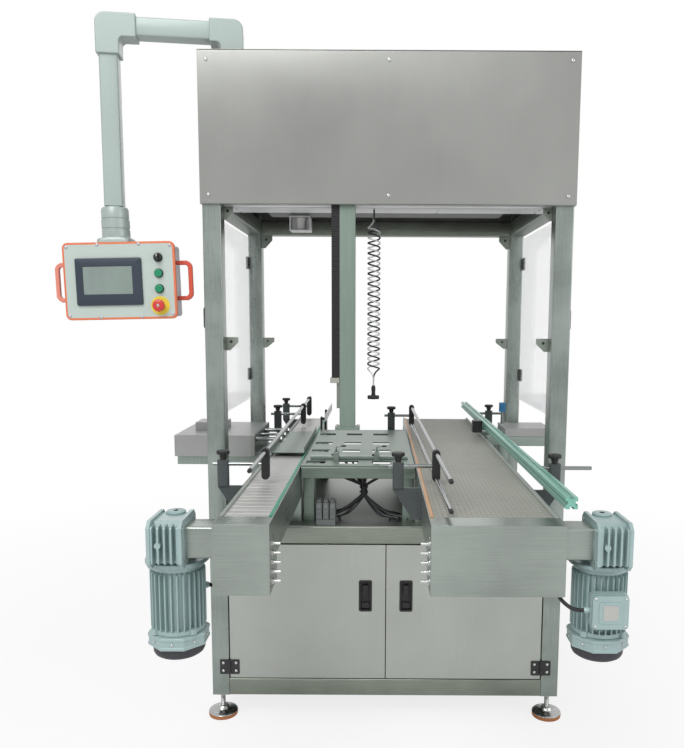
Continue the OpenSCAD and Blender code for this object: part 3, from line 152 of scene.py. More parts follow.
def lathe(profile, centre, axis="Z", sides=32):
    """Turns a profile of (radius, way along) pairs about a centre line: the ring at each pair is r cos a, r sin a
    across the axis. The first and last pair have no radius, and each is one point that its ring closes to."""
    profile = np.asarray(profile, float)
    a = np.linspace(0, 2 * math.pi, sides, endpoint=False)
    ring = profile[1:-1, :1]
    u = np.append((ring * np.cos(a)).ravel(), (0, 0))
    v = np.append((ring * np.sin(a)).ravel(), (0, 0))
    w = np.append(np.repeat(profile[1:-1, 1], sides), profile[[0, -1], 1])
    order = {"Z": (u, v, w), "Y": (v, w, u), "X": (w, u, v)}[axis]
    points = np.stack(order, -1) + np.asarray(centre, float)
    rows = len(ring)
    faces = grid_faces(rows, sides, around=True)
    low, k = rows * sides, np.arange(sides)
    j = (k + 1) % sides
    faces += np.stack([j, k, np.full(sides, low)], -1).tolist()
    faces += np.stack([low - sides + k, low - sides + j, np.full(sides, low + 1)], -1).tolist()
    return (points, faces) if profile[-1, 1] > profile[0, 1] else (points, [f[::-1] for f in faces])


def piece(name, shapes, body, material, instead=(), bevel=0.0, smooth=35, tilt=None):
    """Joins shapes, each a pair of points in millimetres and faces, into one object that rides on a body. tilt is
    a function of points that puts the shapes in their place first."""
    points, faces, base = [], [], 0
    for p, f in shapes:
        points.append(np.asarray(p, float))
        faces.extend([[i + base for i in face] for face in f])
        base += len(p)
    points = np.vstack(points)
    if tilt:
        points = tilt(points)
    mesh = bpy.data.meshes.new(name)
    mesh.from_pydata(in_row(points).tolist(), [], faces)
    mesh.update()
    mesh.polygons.foreach_set("use_smooth", np.ones(len(mesh.polygons), bool))
    mesh.set_sharp_from_angle(angle=math.radians(smooth))
    obj = bpy.data.objects.new(name, mesh)
    bpy.context.scene.collection.objects.link(obj)
    mesh.materials.append(material)
    if bevel:
        mod = obj.modifiers.new("soft_edge", "BEVEL")
        mod.width = bevel / 1000
        mod.segments = 2
        mod.limit_method = "ANGLE"
        mod.angle_limit = math.radians(40)
        mod.harden_normals = True
    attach(obj, body)
    if instead:
        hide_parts(*instead)
    return obj


def finish_of(name, colour, rough, metal=0.0, grain=60, blotch=3.0, spread=0.12, bump=0.1, fine=0.5, coat=0.0):
    """A surface whose colour and roughness drift with two noises on Object coordinates: a fine one, stretched by
    grain, one number or three, and a broad one of scale blotch. spread is how far the colour moves either way."""
    mat = bpy.data.materials.new(name)
    mat.use_nodes = True
    nodes, links = mat.node_tree.nodes, mat.node_tree.links
    shader = nodes["Principled BSDF"]
    shader.inputs["Metallic"].default_value = metal
    if coat:
        shader.inputs["Coat Weight"].default_value = coat
        shader.inputs["Coat Roughness"].default_value = 0.08
    place = nodes.new("ShaderNodeTexCoord")
    stretch = nodes.new("ShaderNodeMapping")
    stretch.inputs["Scale"].default_value = (grain,) * 3 if np.isscalar(grain) else grain
    links.new(place.outputs["Object"], stretch.inputs["Vector"])
    small = nodes.new("ShaderNodeTexNoise")
    small.inputs["Scale"].default_value = 1
    small.inputs["Detail"].default_value = 3
    links.new(stretch.outputs["Vector"], small.inputs["Vector"])
    broad = nodes.new("ShaderNodeTexNoise")
    broad.inputs["Scale"].default_value = blotch
    broad.inputs["Detail"].default_value = 4
    links.new(place.outputs["Object"], broad.inputs["Vector"])
    both = nodes.new("ShaderNodeMix")
    both.data_type = "FLOAT"
    both.inputs["Factor"].default_value = fine
    links.new(broad.outputs["Fac"], both.inputs["A"])
    links.new(small.outputs["Fac"], both.inputs["B"])
    ramp = nodes.new("ShaderNodeValToRGB")
    ramp.color_ramp.elements[0].position = 0.3
    ramp.color_ramp.elements[1].position = 0.7
    low = [max(0.0, c * (1 - spread)) for c in colour]
    high = [min(1.0, c * (1 + spread)) for c in colour]
    ramp.color_ramp.elements[0].color = (*low, 1)
    ramp.color_ramp.elements[1].color = (*high, 1)
    links.new(both.outputs["Result"], ramp.inputs["Fac"])
    links.new(ramp.outputs["Color"], shader.inputs["Base Color"])
    worn = nodes.new("ShaderNodeMapRange")
    worn.inputs["To Min"].default_value = max(0.02, rough - 0.07)
    worn.inputs["To Max"].default_value = min(1.0, rough + 0.07)
    worn.inputs["From Min"].default_value = 0.3
    worn.inputs["From Max"].default_value = 0.7
    links.new(both.outputs["Result"], worn.inputs["Value"])
    links.new(worn.outputs["Result"], shader.inputs["Roughness"])
    if bump:
        relief = nodes.new("ShaderNodeBump")
        relief.inputs["Strength"].default_value = bump
        relief.inputs["Distance"].default_value = 0.001
        links.new(small.outputs["Fac"], relief.inputs["Height"])
        links.new(relief.outputs["Normal"], shader.inputs["Normal"])
    return mat


black_rubber = finish_of("black_rubber", (0.012, 0.012, 0.014), 0.42, grain=400, bump=0.05)
black_moulding = finish_of("black_moulding", (0.010, 0.010, 0.011), 0.48, grain=900, bump=0.12)
clear_plastic = finish_of("clear_plastic", (0.72, 0.74, 0.75), 0.16, grain=300, spread=0.06, bump=0.02)
clear_plastic.node_tree.nodes["Principled BSDF"].inputs["Transmission Weight"].default_value = 0.35
clear_plastic.node_tree.nodes["Principled BSDF"].inputs["Alpha"].default_value = 0.55

PLUG_LENGTH = 46
cable_path = curly_path(0)
cable_end = cable_path[-1]
curly_cable = piece(
    "curly_cable", [tube(cable_path, CORD_RADIUS)], "frame", black_rubber, ["coil_cable"]
)
plug_profile = [
    (0, 0), (4.2, 0.2), (6.2, 2), (6.6, 6), (6.6, 22), (5.6, 23), (5.6, 25), (6.9, 26), (6.9, 34), (5.2, 36),
    (4.6, 44), (3.0, PLUG_LENGTH), (0, PLUG_LENGTH),
]
cable_plug = piece(
    "cable_plug",
    [lathe(plug_profile, cable_end - (0, 0, PLUG_LENGTH), sides=24)],
    "frame", black_moulding, ["coil_cable"],
)
hose_path = curly_path(180)
hose_end = hose_path[-1]
curly_hose = piece("curly_hose", [tube(hose_path, CORD_RADIUS)], "frame", clear_plastic, ["coil_hose"])
FITTING_LENGTH = 40
stem_profile = [
    (0, -6), (6.5, -6), (7.4, -4), (7.4, 12), (6.0, 13), (6.0, 20), (7.2, 21), (7.2, 36), (4.5, 39), (0, 40)
]
branch_profile = [
    (0, -20), (5.2, -20), (6.9, -17), (6.9, -6), (7.6, -5), (7.6, 5), (6.9, 6), (6.9, 17), (5.2, 20), (0, 20)
]
hose_foot = hose_end - (0, 0, FITTING_LENGTH)
hose_fittings = piece(
    "hose_fittings",
    [lathe(stem_profile, hose_foot, sides=24), lathe(branch_profile, hose_foot, "X", sides=24)],
    "frame", black_moulding, ["coil_hose"],
)


# The studio: a pale floor and a white surround, a large soft lamp in front and above, and weaker ones at the
# sides and behind. The surround shows white to the camera, to gloss and through glass, and lights plainly.
world = bpy.data.worlds.new("surround")
bpy.context.scene.world = world
world.use_nodes = True
sky, sky_links = world.node_tree.nodes, world.node_tree.links
ray = sky.new("ShaderNodeLightPath")
seen = sky.new("ShaderNodeMath")
seen.operation = "MAXIMUM"
through = sky.new("ShaderNodeMath")
through.operation = "MAXIMUM"
sky_links.new(ray.outputs["Is Camera Ray"], seen.inputs[0])
sky_links.new(ray.outputs["Is Transmission Ray"], seen.inputs[1])
sky_links.new(seen.outputs[0], through.inputs[0])
glossy_share = sky.new("ShaderNodeMath")
glossy_share.operation = "MULTIPLY"
glossy_share.inputs[1].default_value = 0.72
sky_links.new(ray.outputs["Is Glossy Ray"], glossy_share.inputs[0])
sky_links.new(glossy_share.outputs[0], through.inputs[1])
level = sky.new("ShaderNodeMapRange")
level.inputs["To Min"].default_value = 0.42
level.inputs["To Max"].default_value = 1.0
sky_links.new(through.outputs[0], level.inputs["Value"])
sky["Background"].inputs["Color"].default_value = (1, 1, 1, 1)
sky_links.new(level.outputs["Result"], sky["Background"].inputs["Strength"])


def lamp(name, place, aim, size, power):
    """A square soft lamp at place, turned to look at aim, both in the frame's millimetres."""
    data = bpy.data.lights.new(name, "AREA")
    data.size = size
    data.energy = power
    obj = bpy.data.objects.new(name, data)
    bpy.context.scene.collection.objects.link(obj)
    here, there = in_row(place)[0], in_row(aim)[0]
    z = unit(here - there)
    x = unit(np.cross((0, 0, 1.0), z))
    y = np.cross(z, x)
    obj.matrix_world = Matrix((*[(x[i], y[i], z[i], here[i]) for i in range(3)], (0, 0, 0, 1)))


lamp("front_softbox", (-2400, -6000, 7400), (0, 300, 1200), 5.0, 520)
lamp("right_softbox", (6000, -3400, 3600), (0, 300, 1200), 4.0, 110)
lamp("back_softbox", (-800, 7000, 5600), (0, 500, 1000), 6.0, 70)

floor_mesh = bpy.data.meshes.new("floor")
floor_edge = np.array([(-9000, -6000, 0), (9000, -6000, 0), (9000, 12000, 0), (-9000, 12000, 0)])
floor_mesh.from_pydata(in_row(floor_edge).tolist(), [], [(0, 1, 2, 3)])
floor = bpy.data.objects.new("floor", floor_mesh)
bpy.context.scene.collection.objects.link(floor)
floor_finish = bpy.data.materials.new("floor_finish")
floor_finish.use_nodes = True
fn, fl = floor_finish.node_tree.nodes, floor_finish.node_tree.links
fn["Principled BSDF"].inputs["Base Color"].default_value = (0.93, 0.93, 0.93, 1)
fn["Principled BSDF"].inputs["Roughness"].default_value = 0.9
glow = fn.new("ShaderNodeEmission")
glow.inputs["Color"].default_value = (1, 1, 1, 1)
floor_mix = fn.new("ShaderNodeMixShader")
floor_ray = fn.new("ShaderNodeLightPath")
floor_place = fn.new("ShaderNodeTexCoord")
far_off = fn.new("ShaderNodeVectorMath")
far_off.operation = "LENGTH"
whiter = fn.new("ShaderNodeMapRange")
for key, value in (("From Min", 1.3), ("From Max", 3.4), ("To Min", 0.80), ("To Max", 1.0)):
    whiter.inputs[key].default_value = value
floor_part = fn.new("ShaderNodeMath")
floor_part.operation = "MULTIPLY"
fl.new(floor_place.outputs["Object"], far_off.inputs[0])
fl.new(far_off.outputs["Value"], whiter.inputs["Value"])
fl.new(whiter.outputs["Result"], floor_part.inputs[1])
fl.new(floor_ray.outputs["Is Camera Ray"], floor_part.inputs[0])
fl.new(floor_part.outputs[0], floor_mix.inputs["Fac"])
fl.new(fn["Principled BSDF"].outputs[0], floor_mix.inputs[1])
fl.new(glow.outputs[0], floor_mix.inputs[2])
fl.new(floor_mix.outputs[0], fn["Material Output"].inputs["Surface"])
floor_mesh.materials.append(floor_finish)

# The frame is welded from 60 mm square stainless tube with round corners, ground and brushed along its
# length. The posts stand on the feet, and the rails between them carry the cabinet, the deck and the hood.
FRAME_WIDTH, FRAME_DEPTH, POST = 1200, 900, 60
FRAME_LOW, CABINET_LOW, CABINET_HIGH, DECK = 85, 145, 627, 687
HOOD_LOW, POST_TOP = 1750, 2220
HALF, INSIDE, BACK = FRAME_WIDTH / 2, FRAME_WIDTH / 2 - POST, FRAME_DEPTH - POST


def rounded(width, height, radius, steps=4):
    """The outline of a rectangle about the origin, with each corner a quarter circle of steps + 1 points."""
    corner = np.linspace(0, math.pi / 2, steps + 1)
    out = []
    for n, (sx, sy) in enumerate([(1, 1), (-1, 1), (-1, -1), (1, -1)]):
        a = corner + n * math.pi / 2
        out.append(
            np.c_[sx * (width / 2 - radius) + radius * np.cos(a), sy * (height / 2 - radius) + radius * np.sin(a)]
        )
    return np.vstack(out)


AXES = {"X": (1, 2, 0), "Y": (2, 0, 1), "Z": (0, 1, 2)}


def along(outline, axis, low, high):
    """Places an outline of two columns at two heights along an axis, low first: the pair keeps its turn about
    the axis, so the walls face outwards."""
    first, second, third = AXES[axis]
    out = np.empty((2, len(outline), 3))
    out[:, :, first] = outline[:, 0]
    out[:, :, second] = outline[:, 1]
    out[0, :, third], out[1, :, third] = low, high
    return out.reshape(-1, 3)


def prism(outline, axis, low, high):
    """An outline carried straight along an axis, closed at both ends. One that runs clockwise is turned round,
    by the sign of the area it encloses."""
    x, y = np.asarray(outline, float).T
    n = len(x)
    if (x * np.roll(y, -1) - y * np.roll(x, -1)).sum() < 0:
        outline = outline[::-1]
    return along(outline, axis, low, high), grid_faces(2, n, around=True, caps=True)


def pipe(outer, inner, axis, low, high):
    """The wall between two outlines of as many points, carried along an axis, with ring ends."""
    n = len(outer)
    points = np.vstack([along(outer, axis, low, high), along(inner, axis, low, high)])
    k = np.arange(n)
    j = (k + 1) % n
    outside = np.stack([k, j, j + n, k + n], -1)
    inside = np.stack([j, k, k + n, j + n], -1) + 2 * n
    bottom = np.stack([j, k, k + 2 * n, j + 2 * n], -1)
    top = np.stack([k + n, j + n, j + 3 * n, k + 3 * n], -1)
    return points, np.vstack([outside, inside, bottom, top]).tolist()


def square_tube(axis, x, y, z, corner=4, wall=3):
    """A square or flat tube with round corners along an axis, between two values on each axis."""
    spans = [x, y, z]
    a, b, c = [spans[n] for n in AXES[axis]]
    middle = np.array([(a[0] + a[1]) / 2, (b[0] + b[1]) / 2])
    w, h = a[1] - a[0], b[1] - b[0]
    outer = rounded(w, h, corner) + middle
    inner = rounded(w - 2 * wall, h - 2 * wall, max(corner - wall, 0.6)) + middle
    return pipe(outer, inner, axis, c[0], c[1])


brushed_posts = finish_of(
    "brushed_posts", (0.30, 0.34, 0.318), 0.29, 0.95, grain=(420, 420, 9), blotch=6, spread=0.26, bump=0.10, fine=0.35
)
brushed_rails = finish_of(
    "brushed_rails", (0.25, 0.275, 0.235), 0.36, 0.9, grain=(9, 420, 420), blotch=6, spread=0.25, bump=0.10, fine=0.45
)
brushed_side_rails = finish_of(
    "brushed_side_rails", (0.28, 0.31, 0.275), 0.38, 0.9, grain=(420, 9, 420), blotch=6, spread=0.22, bump=0.10,
    fine=0.45
)
post_pairs = [(x, y) for x in ((-HALF, -INSIDE), (INSIDE, HALF)) for y in ((0, POST), (BACK, FRAME_DEPTH))]
piece(
    "posts", [square_tube("Z", x, y, (FRAME_LOW, POST_TOP)) for x, y in post_pairs], "frame",
    brushed_posts, ["frame_posts"],
)
piece(
    "cross_rails",
    [
        square_tube("X", (-INSIDE, INSIDE), y, z)
        for y in ((0, POST), (BACK, FRAME_DEPTH))
        for z in ((FRAME_LOW, CABINET_LOW), (CABINET_HIGH, DECK), (POST_TOP - POST, POST_TOP))
    ]
    + [square_tube("X", (-INSIDE, INSIDE), (BACK, FRAME_DEPTH), (HOOD_LOW, HOOD_LOW + POST))],
    "frame", brushed_rails, ["cabinet_rails", "hood_rails"],
)
piece(
    "side_rails",
    [
        square_tube("Y", x, (POST, BACK), z)
        for x in ((-HALF, -INSIDE), (INSIDE, HALF))
        for z in (
            (FRAME_LOW, CABINET_LOW), (CABINET_HIGH, DECK), (HOOD_LOW, HOOD_LOW + POST), (POST_TOP - POST, POST_TOP),
        )
    ],
    "frame", brushed_side_rails, ["cabinet_rails", "hood_rails"],
)

# The cabinet's fixed panels, the deck and the flat faces of the hood are thin stainless sheet with a fine
# brushed grain and faint hand marks. The hood is folded: its front cover has returns at all four edges.
sheet_metal = finish_of(
    "sheet_metal", (0.335, 0.34, 0.325), 0.34, 0.88, grain=(700, 700, 5), blotch=1.3, spread=0.14, bump=0.03,
    fine=0.16
)
deck_metal = finish_of(
    "deck_metal", (0.28, 0.30, 0.28), 0.40, 0.88, grain=(7, 260, 260), blotch=4, spread=0.25, bump=0.08, fine=0.4
)
cabinet_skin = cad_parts["cabinet_panels"]
cabinet_skin.data.materials.clear()
cabinet_skin.data.materials.append(deck_metal)
HOOD_X, HOOD_TOP, PROUD, SHEET = 603, 2222, 15, 2


def block(x, y, z):
    """The eight corners and six faces of a box between two values on each axis."""
    corners = np.array([(a, b, c) for c in z for b in y for a in x], float)
    faces = [(0, 2, 3, 1), (4, 5, 7, 6), (0, 1, 5, 4), (2, 6, 7, 3), (0, 4, 6, 2), (1, 3, 7, 5)]
    return corners, [list(f) for f in faces]


front_fold = np.array(
    [
        (0, HOOD_LOW), (0, HOOD_LOW + SHEET), (-11, HOOD_LOW + SHEET), (-13, HOOD_LOW + 5), (-13, POST_TOP - SHEET),
        (0, POST_TOP - SHEET), (0, POST_TOP), (-13, POST_TOP), (-PROUD, POST_TOP - 2), (-PROUD, HOOD_LOW + 6),
        (-PROUD + 1.5, HOOD_LOW + 2.5), (-PROUD + 4, HOOD_LOW),
    ]
)
hood_shapes = [
    prism(front_fold, "X", -HOOD_X, HOOD_X),
    block((-HOOD_X, -HOOD_X + SHEET), (-PROUD + 2, 0), (HOOD_LOW + SHEET, POST_TOP - SHEET)),
    block((HOOD_X - SHEET, HOOD_X), (-PROUD + 2, 0), (HOOD_LOW + SHEET, POST_TOP - SHEET)),
    block((-HOOD_X, -HALF), (0, FRAME_DEPTH), (HOOD_LOW, POST_TOP)),
    block((HALF, HOOD_X), (0, FRAME_DEPTH), (HOOD_LOW, POST_TOP)),
    block((-HOOD_X, HOOD_X), (FRAME_DEPTH, FRAME_DEPTH + SHEET), (HOOD_LOW, POST_TOP)),
    block((-HOOD_X, HOOD_X), (-PROUD, FRAME_DEPTH + SHEET), (POST_TOP, HOOD_TOP)),
]
piece("hood", hood_shapes, "frame", sheet_metal, ["hood_covers"], bevel=0.9)

# Six button-head screws hold the front cover, and five long bolts with nuts stand out of the inner side of each
# conveyor's end box. They are plain zinc-plated steel.
bright_steel = finish_of("bright_steel", (0.60, 0.61, 0.60), 0.24, 1.0, grain=300, spread=0.15, bump=0.04)


def button_screw(centre, axis, way, radius=6.0, height=4.0):
    """A dome head with a round socket: the dome's height falls as the square of its radius, and the socket is a
    step back at 0.45 of it. way is 1 or -1, for the side of centre that it stands on."""
    r = np.array([0.0, 1.0, 1.0, 0.9, 0.72, 0.5, 0.45, 0.45, 0.0]) * radius
    h = np.array([0.0, 0.0, 0.25, 0.62, 0.88, 1.0, 1.0, 0.45, 0.45]) * height
    return lathe(np.c_[r, h * way], centre, axis, sides=20)


def round_bar(radius, low, high, centre, axis="X", sides=20):
    """A plain cylinder of one radius between two levels along an axis."""
    return lathe([(0, low), (radius, low), (radius, high), (0, high)], centre, axis, sides)


def hexagon(radius, turn=0.0):
    """Six points on a circle."""
    a = np.linspace(0, 2 * math.pi, 6, endpoint=False) + turn
    return np.c_[radius * np.cos(a), radius * np.sin(a)]


NARROW_LOW, NARROW_HIGH, WIDE_LOW, WIDE_HIGH = -431, -291, 100, 430
FRONT_END, REAR_END, LIP, BOX_LOW, SIDE_LOW = -704, 1357, 890, 712, 780
BOLT_Y, BOLT_ZS, BOLT_OUT = -664, [736, 760, 784, 808, 832], 22
screw_places = [(x, z) for x in (-575, 0, 575) for z in (HOOD_LOW + 28, POST_TOP - 28)]
screw_shapes = [button_screw((x, -PROUD, z), "Y", -1) for x, z in screw_places]
for face, way in ((NARROW_HIGH, 1), (WIDE_LOW, -1)):
    for z in BOLT_ZS:
        ends = sorted((face, face + way * BOLT_OUT))
        collar = sorted((face, face + way * 5))
        washer = sorted((face, face + way * 1.5))
        screw_shapes.append(
            lathe([(0, 0), (4, 0), (4, BOLT_OUT - 1), (3.2, BOLT_OUT), (0, BOLT_OUT)], (ends[0], BOLT_Y, z), "X", 16)
        )
        screw_shapes.append(prism(hexagon(8, 0.3) + (BOLT_Y, z), "X", collar[0], collar[1]))
        screw_shapes.append(round_bar(9.5, 0, 1.5, (washer[0], BOLT_Y, z)))
piece("screws", screw_shapes, "frame", bright_steel, ["fasteners"], bevel=0.3)

# The levelling feet: a steel foot pressed over a brown rubber pad, with a domed hub, a threaded stem and a lock
# nut under the frame.
FOOT_XS, FOOT_YS, FOOT_RADIUS, PAD_HIGH = (-570, 570), (30, 870), 50, 14
pad_rubber = finish_of("pad_rubber", (0.42, 0.16, 0.06), 0.62, grain=500, spread=0.2, bump=0.15)
foot_steel = finish_of("foot_steel", (0.50, 0.51, 0.50), 0.26, 1.0, grain=(120, 120, 600), spread=0.2, bump=0.05)
pad_profile = [
    (0, 0), (46, 0), (49, 1.5), (FOOT_RADIUS, 5), (FOOT_RADIUS, PAD_HIGH - 1), (49, PAD_HIGH), (0, PAD_HIGH)
]
disc_profile = [
    (0, PAD_HIGH), (49.8, PAD_HIGH), (50, PAD_HIGH + 1.5), (48.5, PAD_HIGH + 3), (40, PAD_HIGH + 5.5),
    (30, PAD_HIGH + 8), (24, PAD_HIGH + 10), (21, PAD_HIGH + 13), (19, PAD_HIGH + 17), (16, PAD_HIGH + 20),
    (0, PAD_HIGH + 20),
]
thread_z = np.arange(PAD_HIGH + 20, FRAME_LOW + 46, 1.0)
thread = np.c_[np.where(np.arange(len(thread_z)) % 2, 7.2, 8.0), thread_z]
thread = np.vstack([(0, thread_z[0] - 0.1), thread, (0, thread_z[-1] + 0.1)])
feet = [(x, y, 0) for x in FOOT_XS for y in FOOT_YS]
piece(
    "foot_pads_round", [lathe(pad_profile, p, sides=48) for p in feet], "frame", pad_rubber,
    ["foot_pads"]
)
foot_shapes = [lathe(disc_profile, p, sides=48) for p in feet] + [lathe(thread, p, sides=20) for p in feet]
foot_shapes += [prism(hexagon(13) + p[:2], "Z", FRAME_LOW - 12, FRAME_LOW) for p in feet]
piece("feet", foot_shapes, "frame", foot_steel, ["levelling_feet"], bevel=0.4)

# Two folded pan doors close the cabinet. Each hangs on two black lift-off hinges and has a black moulded
# recessed pull with a small latch in it, so that it can be opened with two fingers.
DOOR_PIN_X, DOOR_LOW, DOOR_HIGH, DOOR_DEEP = 538.5, 148, 624, 20
PULL_X, PULL_Z, PULL_W, PULL_H, PULL_PROUD, PULL_DEEP = 69.5, 445, 45, 110, 3, 14
door_metal = finish_of(
    "door_metal", (0.43, 0.45, 0.42), 0.34, 0.86, grain=(700, 700, 5), blotch=2.2, spread=0.13, bump=0.03, fine=0.2
)
hinge_black = finish_of("hinge_black", (0.022, 0.022, 0.024), 0.42, 0.0, grain=800, bump=0.15)


def turned(shape, degrees, centre=(0, 0), axis="Z"):
    """A shape turned about an axis through centre: the two values across it become c a - s b and s a + c b."""
    points, faces = shape
    first, second, _ = AXES[axis]
    c, s = math.cos(math.radians(degrees)), math.sin(math.radians(degrees))
    out = np.array(points, float)
    a, b = out[:, first] - centre[0], out[:, second] - centre[1]
    out[:, first], out[:, second] = c * a - s * b + centre[0], s * a + c * b + centre[1]
    return out, faces


def moved(shape, by):
    """A shape shifted by three millimetre values."""
    return np.asarray(shape[0], float) + by, shape[1]


def mirrored(shape):
    """A shape's twin on the other side of the middle, X changed in sign and the faces turned over to suit."""
    return np.asarray(shape[0], float) * (-1, 1, 1), [f[::-1] for f in shape[1]]


def repeated(shape, places):
    """One shape set down at many places."""
    points, faces = np.asarray(shape[0], float), shape[1]
    places = np.asarray(places, float)
    out = (points[None] + places[:, None]).reshape(-1, 3)
    return out, [[i + n * len(points) for i in f] for n in range(len(places)) for f in faces]


def hinge(moving):
    """Half a lift-off hinge about the origin: a leaf with round corners on the face at Y 0, a strap to
    the pin and its half of the knuckle. The fixed half lies to -X at the bottom, the moving half to +X at the top."""
    way = 1 if moving else -1
    low, high = (26.3, 52) if moving else (0, 25.7)
    leaf = rounded(29, 52, 3)[:, ::-1] + (26, way * 19.4)
    knuckle = [(0, low), (3.9, low), (4.5, low + 0.8), (4.5, high - 0.8), (3.9, high), (0, high)]
    shapes = [prism(leaf, "Y", -3, 0), lathe(knuckle, (0, -4.8, 0), sides=20)]
    shapes.append(block((min(0, way * 5), max(0, way * 5)), (-3, -0.3), (low, high)))
    return shapes


def hinge_screws(moving):
    """Two bright countersunk heads on a leaf."""
    way = 1 if moving else -1
    return [button_screw((way * 22, -3, z), "Y", -1, 4.4, 1.1) for z in (12, 40)]


def at_pin(shapes, pin, heights, turn=0):
    """Shapes drawn about a hinge pin, turned about it and set down at each height on the pin's line."""
    return [moved(turned(s, turn), (*pin, z)) for z in heights for s in shapes]


def on_side(shapes, side):
    """Shapes as drawn for the left side, or their mirrored twins where side is -1."""
    return shapes if side > 0 else [mirrored(s) for s in shapes]


DOOR_HINGE_ZS, GUARD_HINGE_ZS, DOOR_PIN = (162, 558), (1120, 1604), (-DOOR_PIN_X, 0)
door_x, door_z = (-DOOR_PIN_X + 1.5, -1.5), (DOOR_LOW, DOOR_HIGH)


def sheet_with_hole(x, z, hole_x, hole_z, y):
    """A flat sheet with a square hole: four strips of faces between two outlines of four points, front and back."""
    outer = np.array([(z[0], x[0]), (z[1], x[0]), (z[1], x[1]), (z[0], x[1])], float)
    inner = np.array(
        [(hole_z[0], hole_x[0]), (hole_z[1], hole_x[0]), (hole_z[1], hole_x[1]), (hole_z[0], hole_x[1])], float
    )
    x_, y_ = outer.T
    if (x_ * np.roll(y_, -1) - y_ * np.roll(x_, -1)).sum() < 0:
        outer, inner = outer[::-1], inner[::-1]
    return pipe(outer, inner, "Y", *y)


pull_hole = ((-PULL_X - PULL_W / 2 + 3, -PULL_X + PULL_W / 2 - 3), (PULL_Z - PULL_H / 2 + 3, PULL_Z + PULL_H / 2 - 3))
door_shapes = [
    sheet_with_hole(door_x, door_z, *pull_hole, (0, SHEET)),
    block((door_x[0], door_x[0] + SHEET), (SHEET, DOOR_DEEP), door_z),
    block((door_x[1] - SHEET, door_x[1]), (SHEET, DOOR_DEEP), door_z),
    block((door_x[0] + SHEET, door_x[1] - SHEET), (SHEET, DOOR_DEEP), (door_z[0], door_z[0] + SHEET)),
    block((door_x[0] + SHEET, door_x[1] - SHEET), (SHEET, DOOR_DEEP), (door_z[1] - SHEET, door_z[1])),
]
rim_out = rounded(PULL_H, PULL_W, 6) + (PULL_Z, -PULL_X)
rim_in = rounded(PULL_H - 12, PULL_W - 12, 3) + (PULL_Z, -PULL_X)
cup_out = rounded(PULL_H - 6, PULL_W - 6, 4) + (PULL_Z, -PULL_X)
pull_shapes = [
    pipe(rim_out, rim_in, "Y", -PULL_PROUD, 0),
    pipe(cup_out, rim_in, "Y", 0, PULL_DEEP - 3),
    prism(cup_out, "Y", PULL_DEEP - 3, PULL_DEEP),
    prism(rounded(34, 16, 4) + (PULL_Z + 20, -PULL_X), "Y", -1.2, PULL_DEEP - 3),
    lathe([(0, -1.2), (5.2, -1.2), (5.2, -2.4), (4.4, -2.8), (0, -2.8)], (-PULL_X, 0, PULL_Z + 20), "Y", 20),
    prism(rounded(20, 27, 3) + (PULL_Z - 36, -PULL_X), "Y", 4, PULL_DEEP - 3),
]
for side, body in ((1, "left_door"), (-1, "right_door")):
    name = body.replace("_door", "_cabinet")
    piece(name + "_pan", on_side(door_shapes, side), body, door_metal, [name + "_door"], bevel=0.8)
    piece(
        name + "_pull", on_side(pull_shapes, side), body, black_moulding, [name + "_door"], bevel=0.5
    )
    on_pin = at_pin(hinge(True), DOOR_PIN, DOOR_HINGE_ZS)
    piece(name + "_hinges", on_side(on_pin, side), body, hinge_black, [name + "_door"], bevel=0.4)
    on_pin = at_pin(hinge_screws(True), DOOR_PIN, DOOR_HINGE_ZS)
    piece(name + "_hinge_screws", on_side(on_pin, side), body, bright_steel, [name + "_door"])

# The side guards are clear acrylic sheets on the rear posts, each with two black hinges, a black bow handle
# near the front post and, on the post, two catches that it closes against.
GUARD_LOW, GUARD_HIGH, GUARD_THICK, GUARD_PIN_Y = 1040, 1736, 8, 838.5
GUARD_FRONT, GUARD_BACK, GUARD_PIN = 63, 837, (-HALF, GUARD_PIN_Y)
clear_sheet = finish_of("clear_sheet", (0.90, 0.915, 0.94), 0.06, grain=40, spread=0.03, bump=0.0)
shader = clear_sheet.node_tree.nodes["Principled BSDF"]
shader.inputs["Transmission Weight"].default_value = 0.85
shader.inputs["Alpha"].default_value = 0.30
shader.inputs["IOR"].default_value = 1.1
guard_shape = prism(
    rounded(GUARD_BACK - GUARD_FRONT, GUARD_HIGH - GUARD_LOW, 6) + (
        (GUARD_FRONT + GUARD_BACK) / 2, (GUARD_LOW + GUARD_HIGH) / 2
    ),
    "X", -HALF, -HALF + GUARD_THICK
)
bow_out, bow_thick, bow_tall, bow_z, bow_y = 24, 9, 84, 1346, 86
corner_r = 9
quarter = np.linspace(0, math.pi / 2, 7)
bow_out_x = -HALF - bow_out + 4.5
bow_path = np.vstack(
    [
        (-HALF + 0.3, bow_z + 6),
        np.c_[bow_out_x + corner_r - corner_r * np.sin(quarter), bow_z + 6 + corner_r - corner_r * np.cos(quarter)],
        np.c_[
            bow_out_x + corner_r - corner_r * np.cos(quarter),
            bow_z + bow_tall - 6 - corner_r + corner_r * np.sin(quarter)
        ],
        (-HALF + 0.3, bow_z + bow_tall - 6),
    ]
)
bow_path = np.c_[bow_path[:, 0], np.full(len(bow_path), bow_y + bow_thick / 2), bow_path[:, 1]]
bow = tube(bow_path, bow_thick / 2 - 0.05, sides=16)
bow_feet = [
    lathe([(0, 0), (8, 0), (8, -2.4), (6, -4), (0, -4)], (-HALF, bow_y + bow_thick / 2, z), "X", 20)
    for z in (bow_z + 6, bow_z + bow_tall - 6)
]
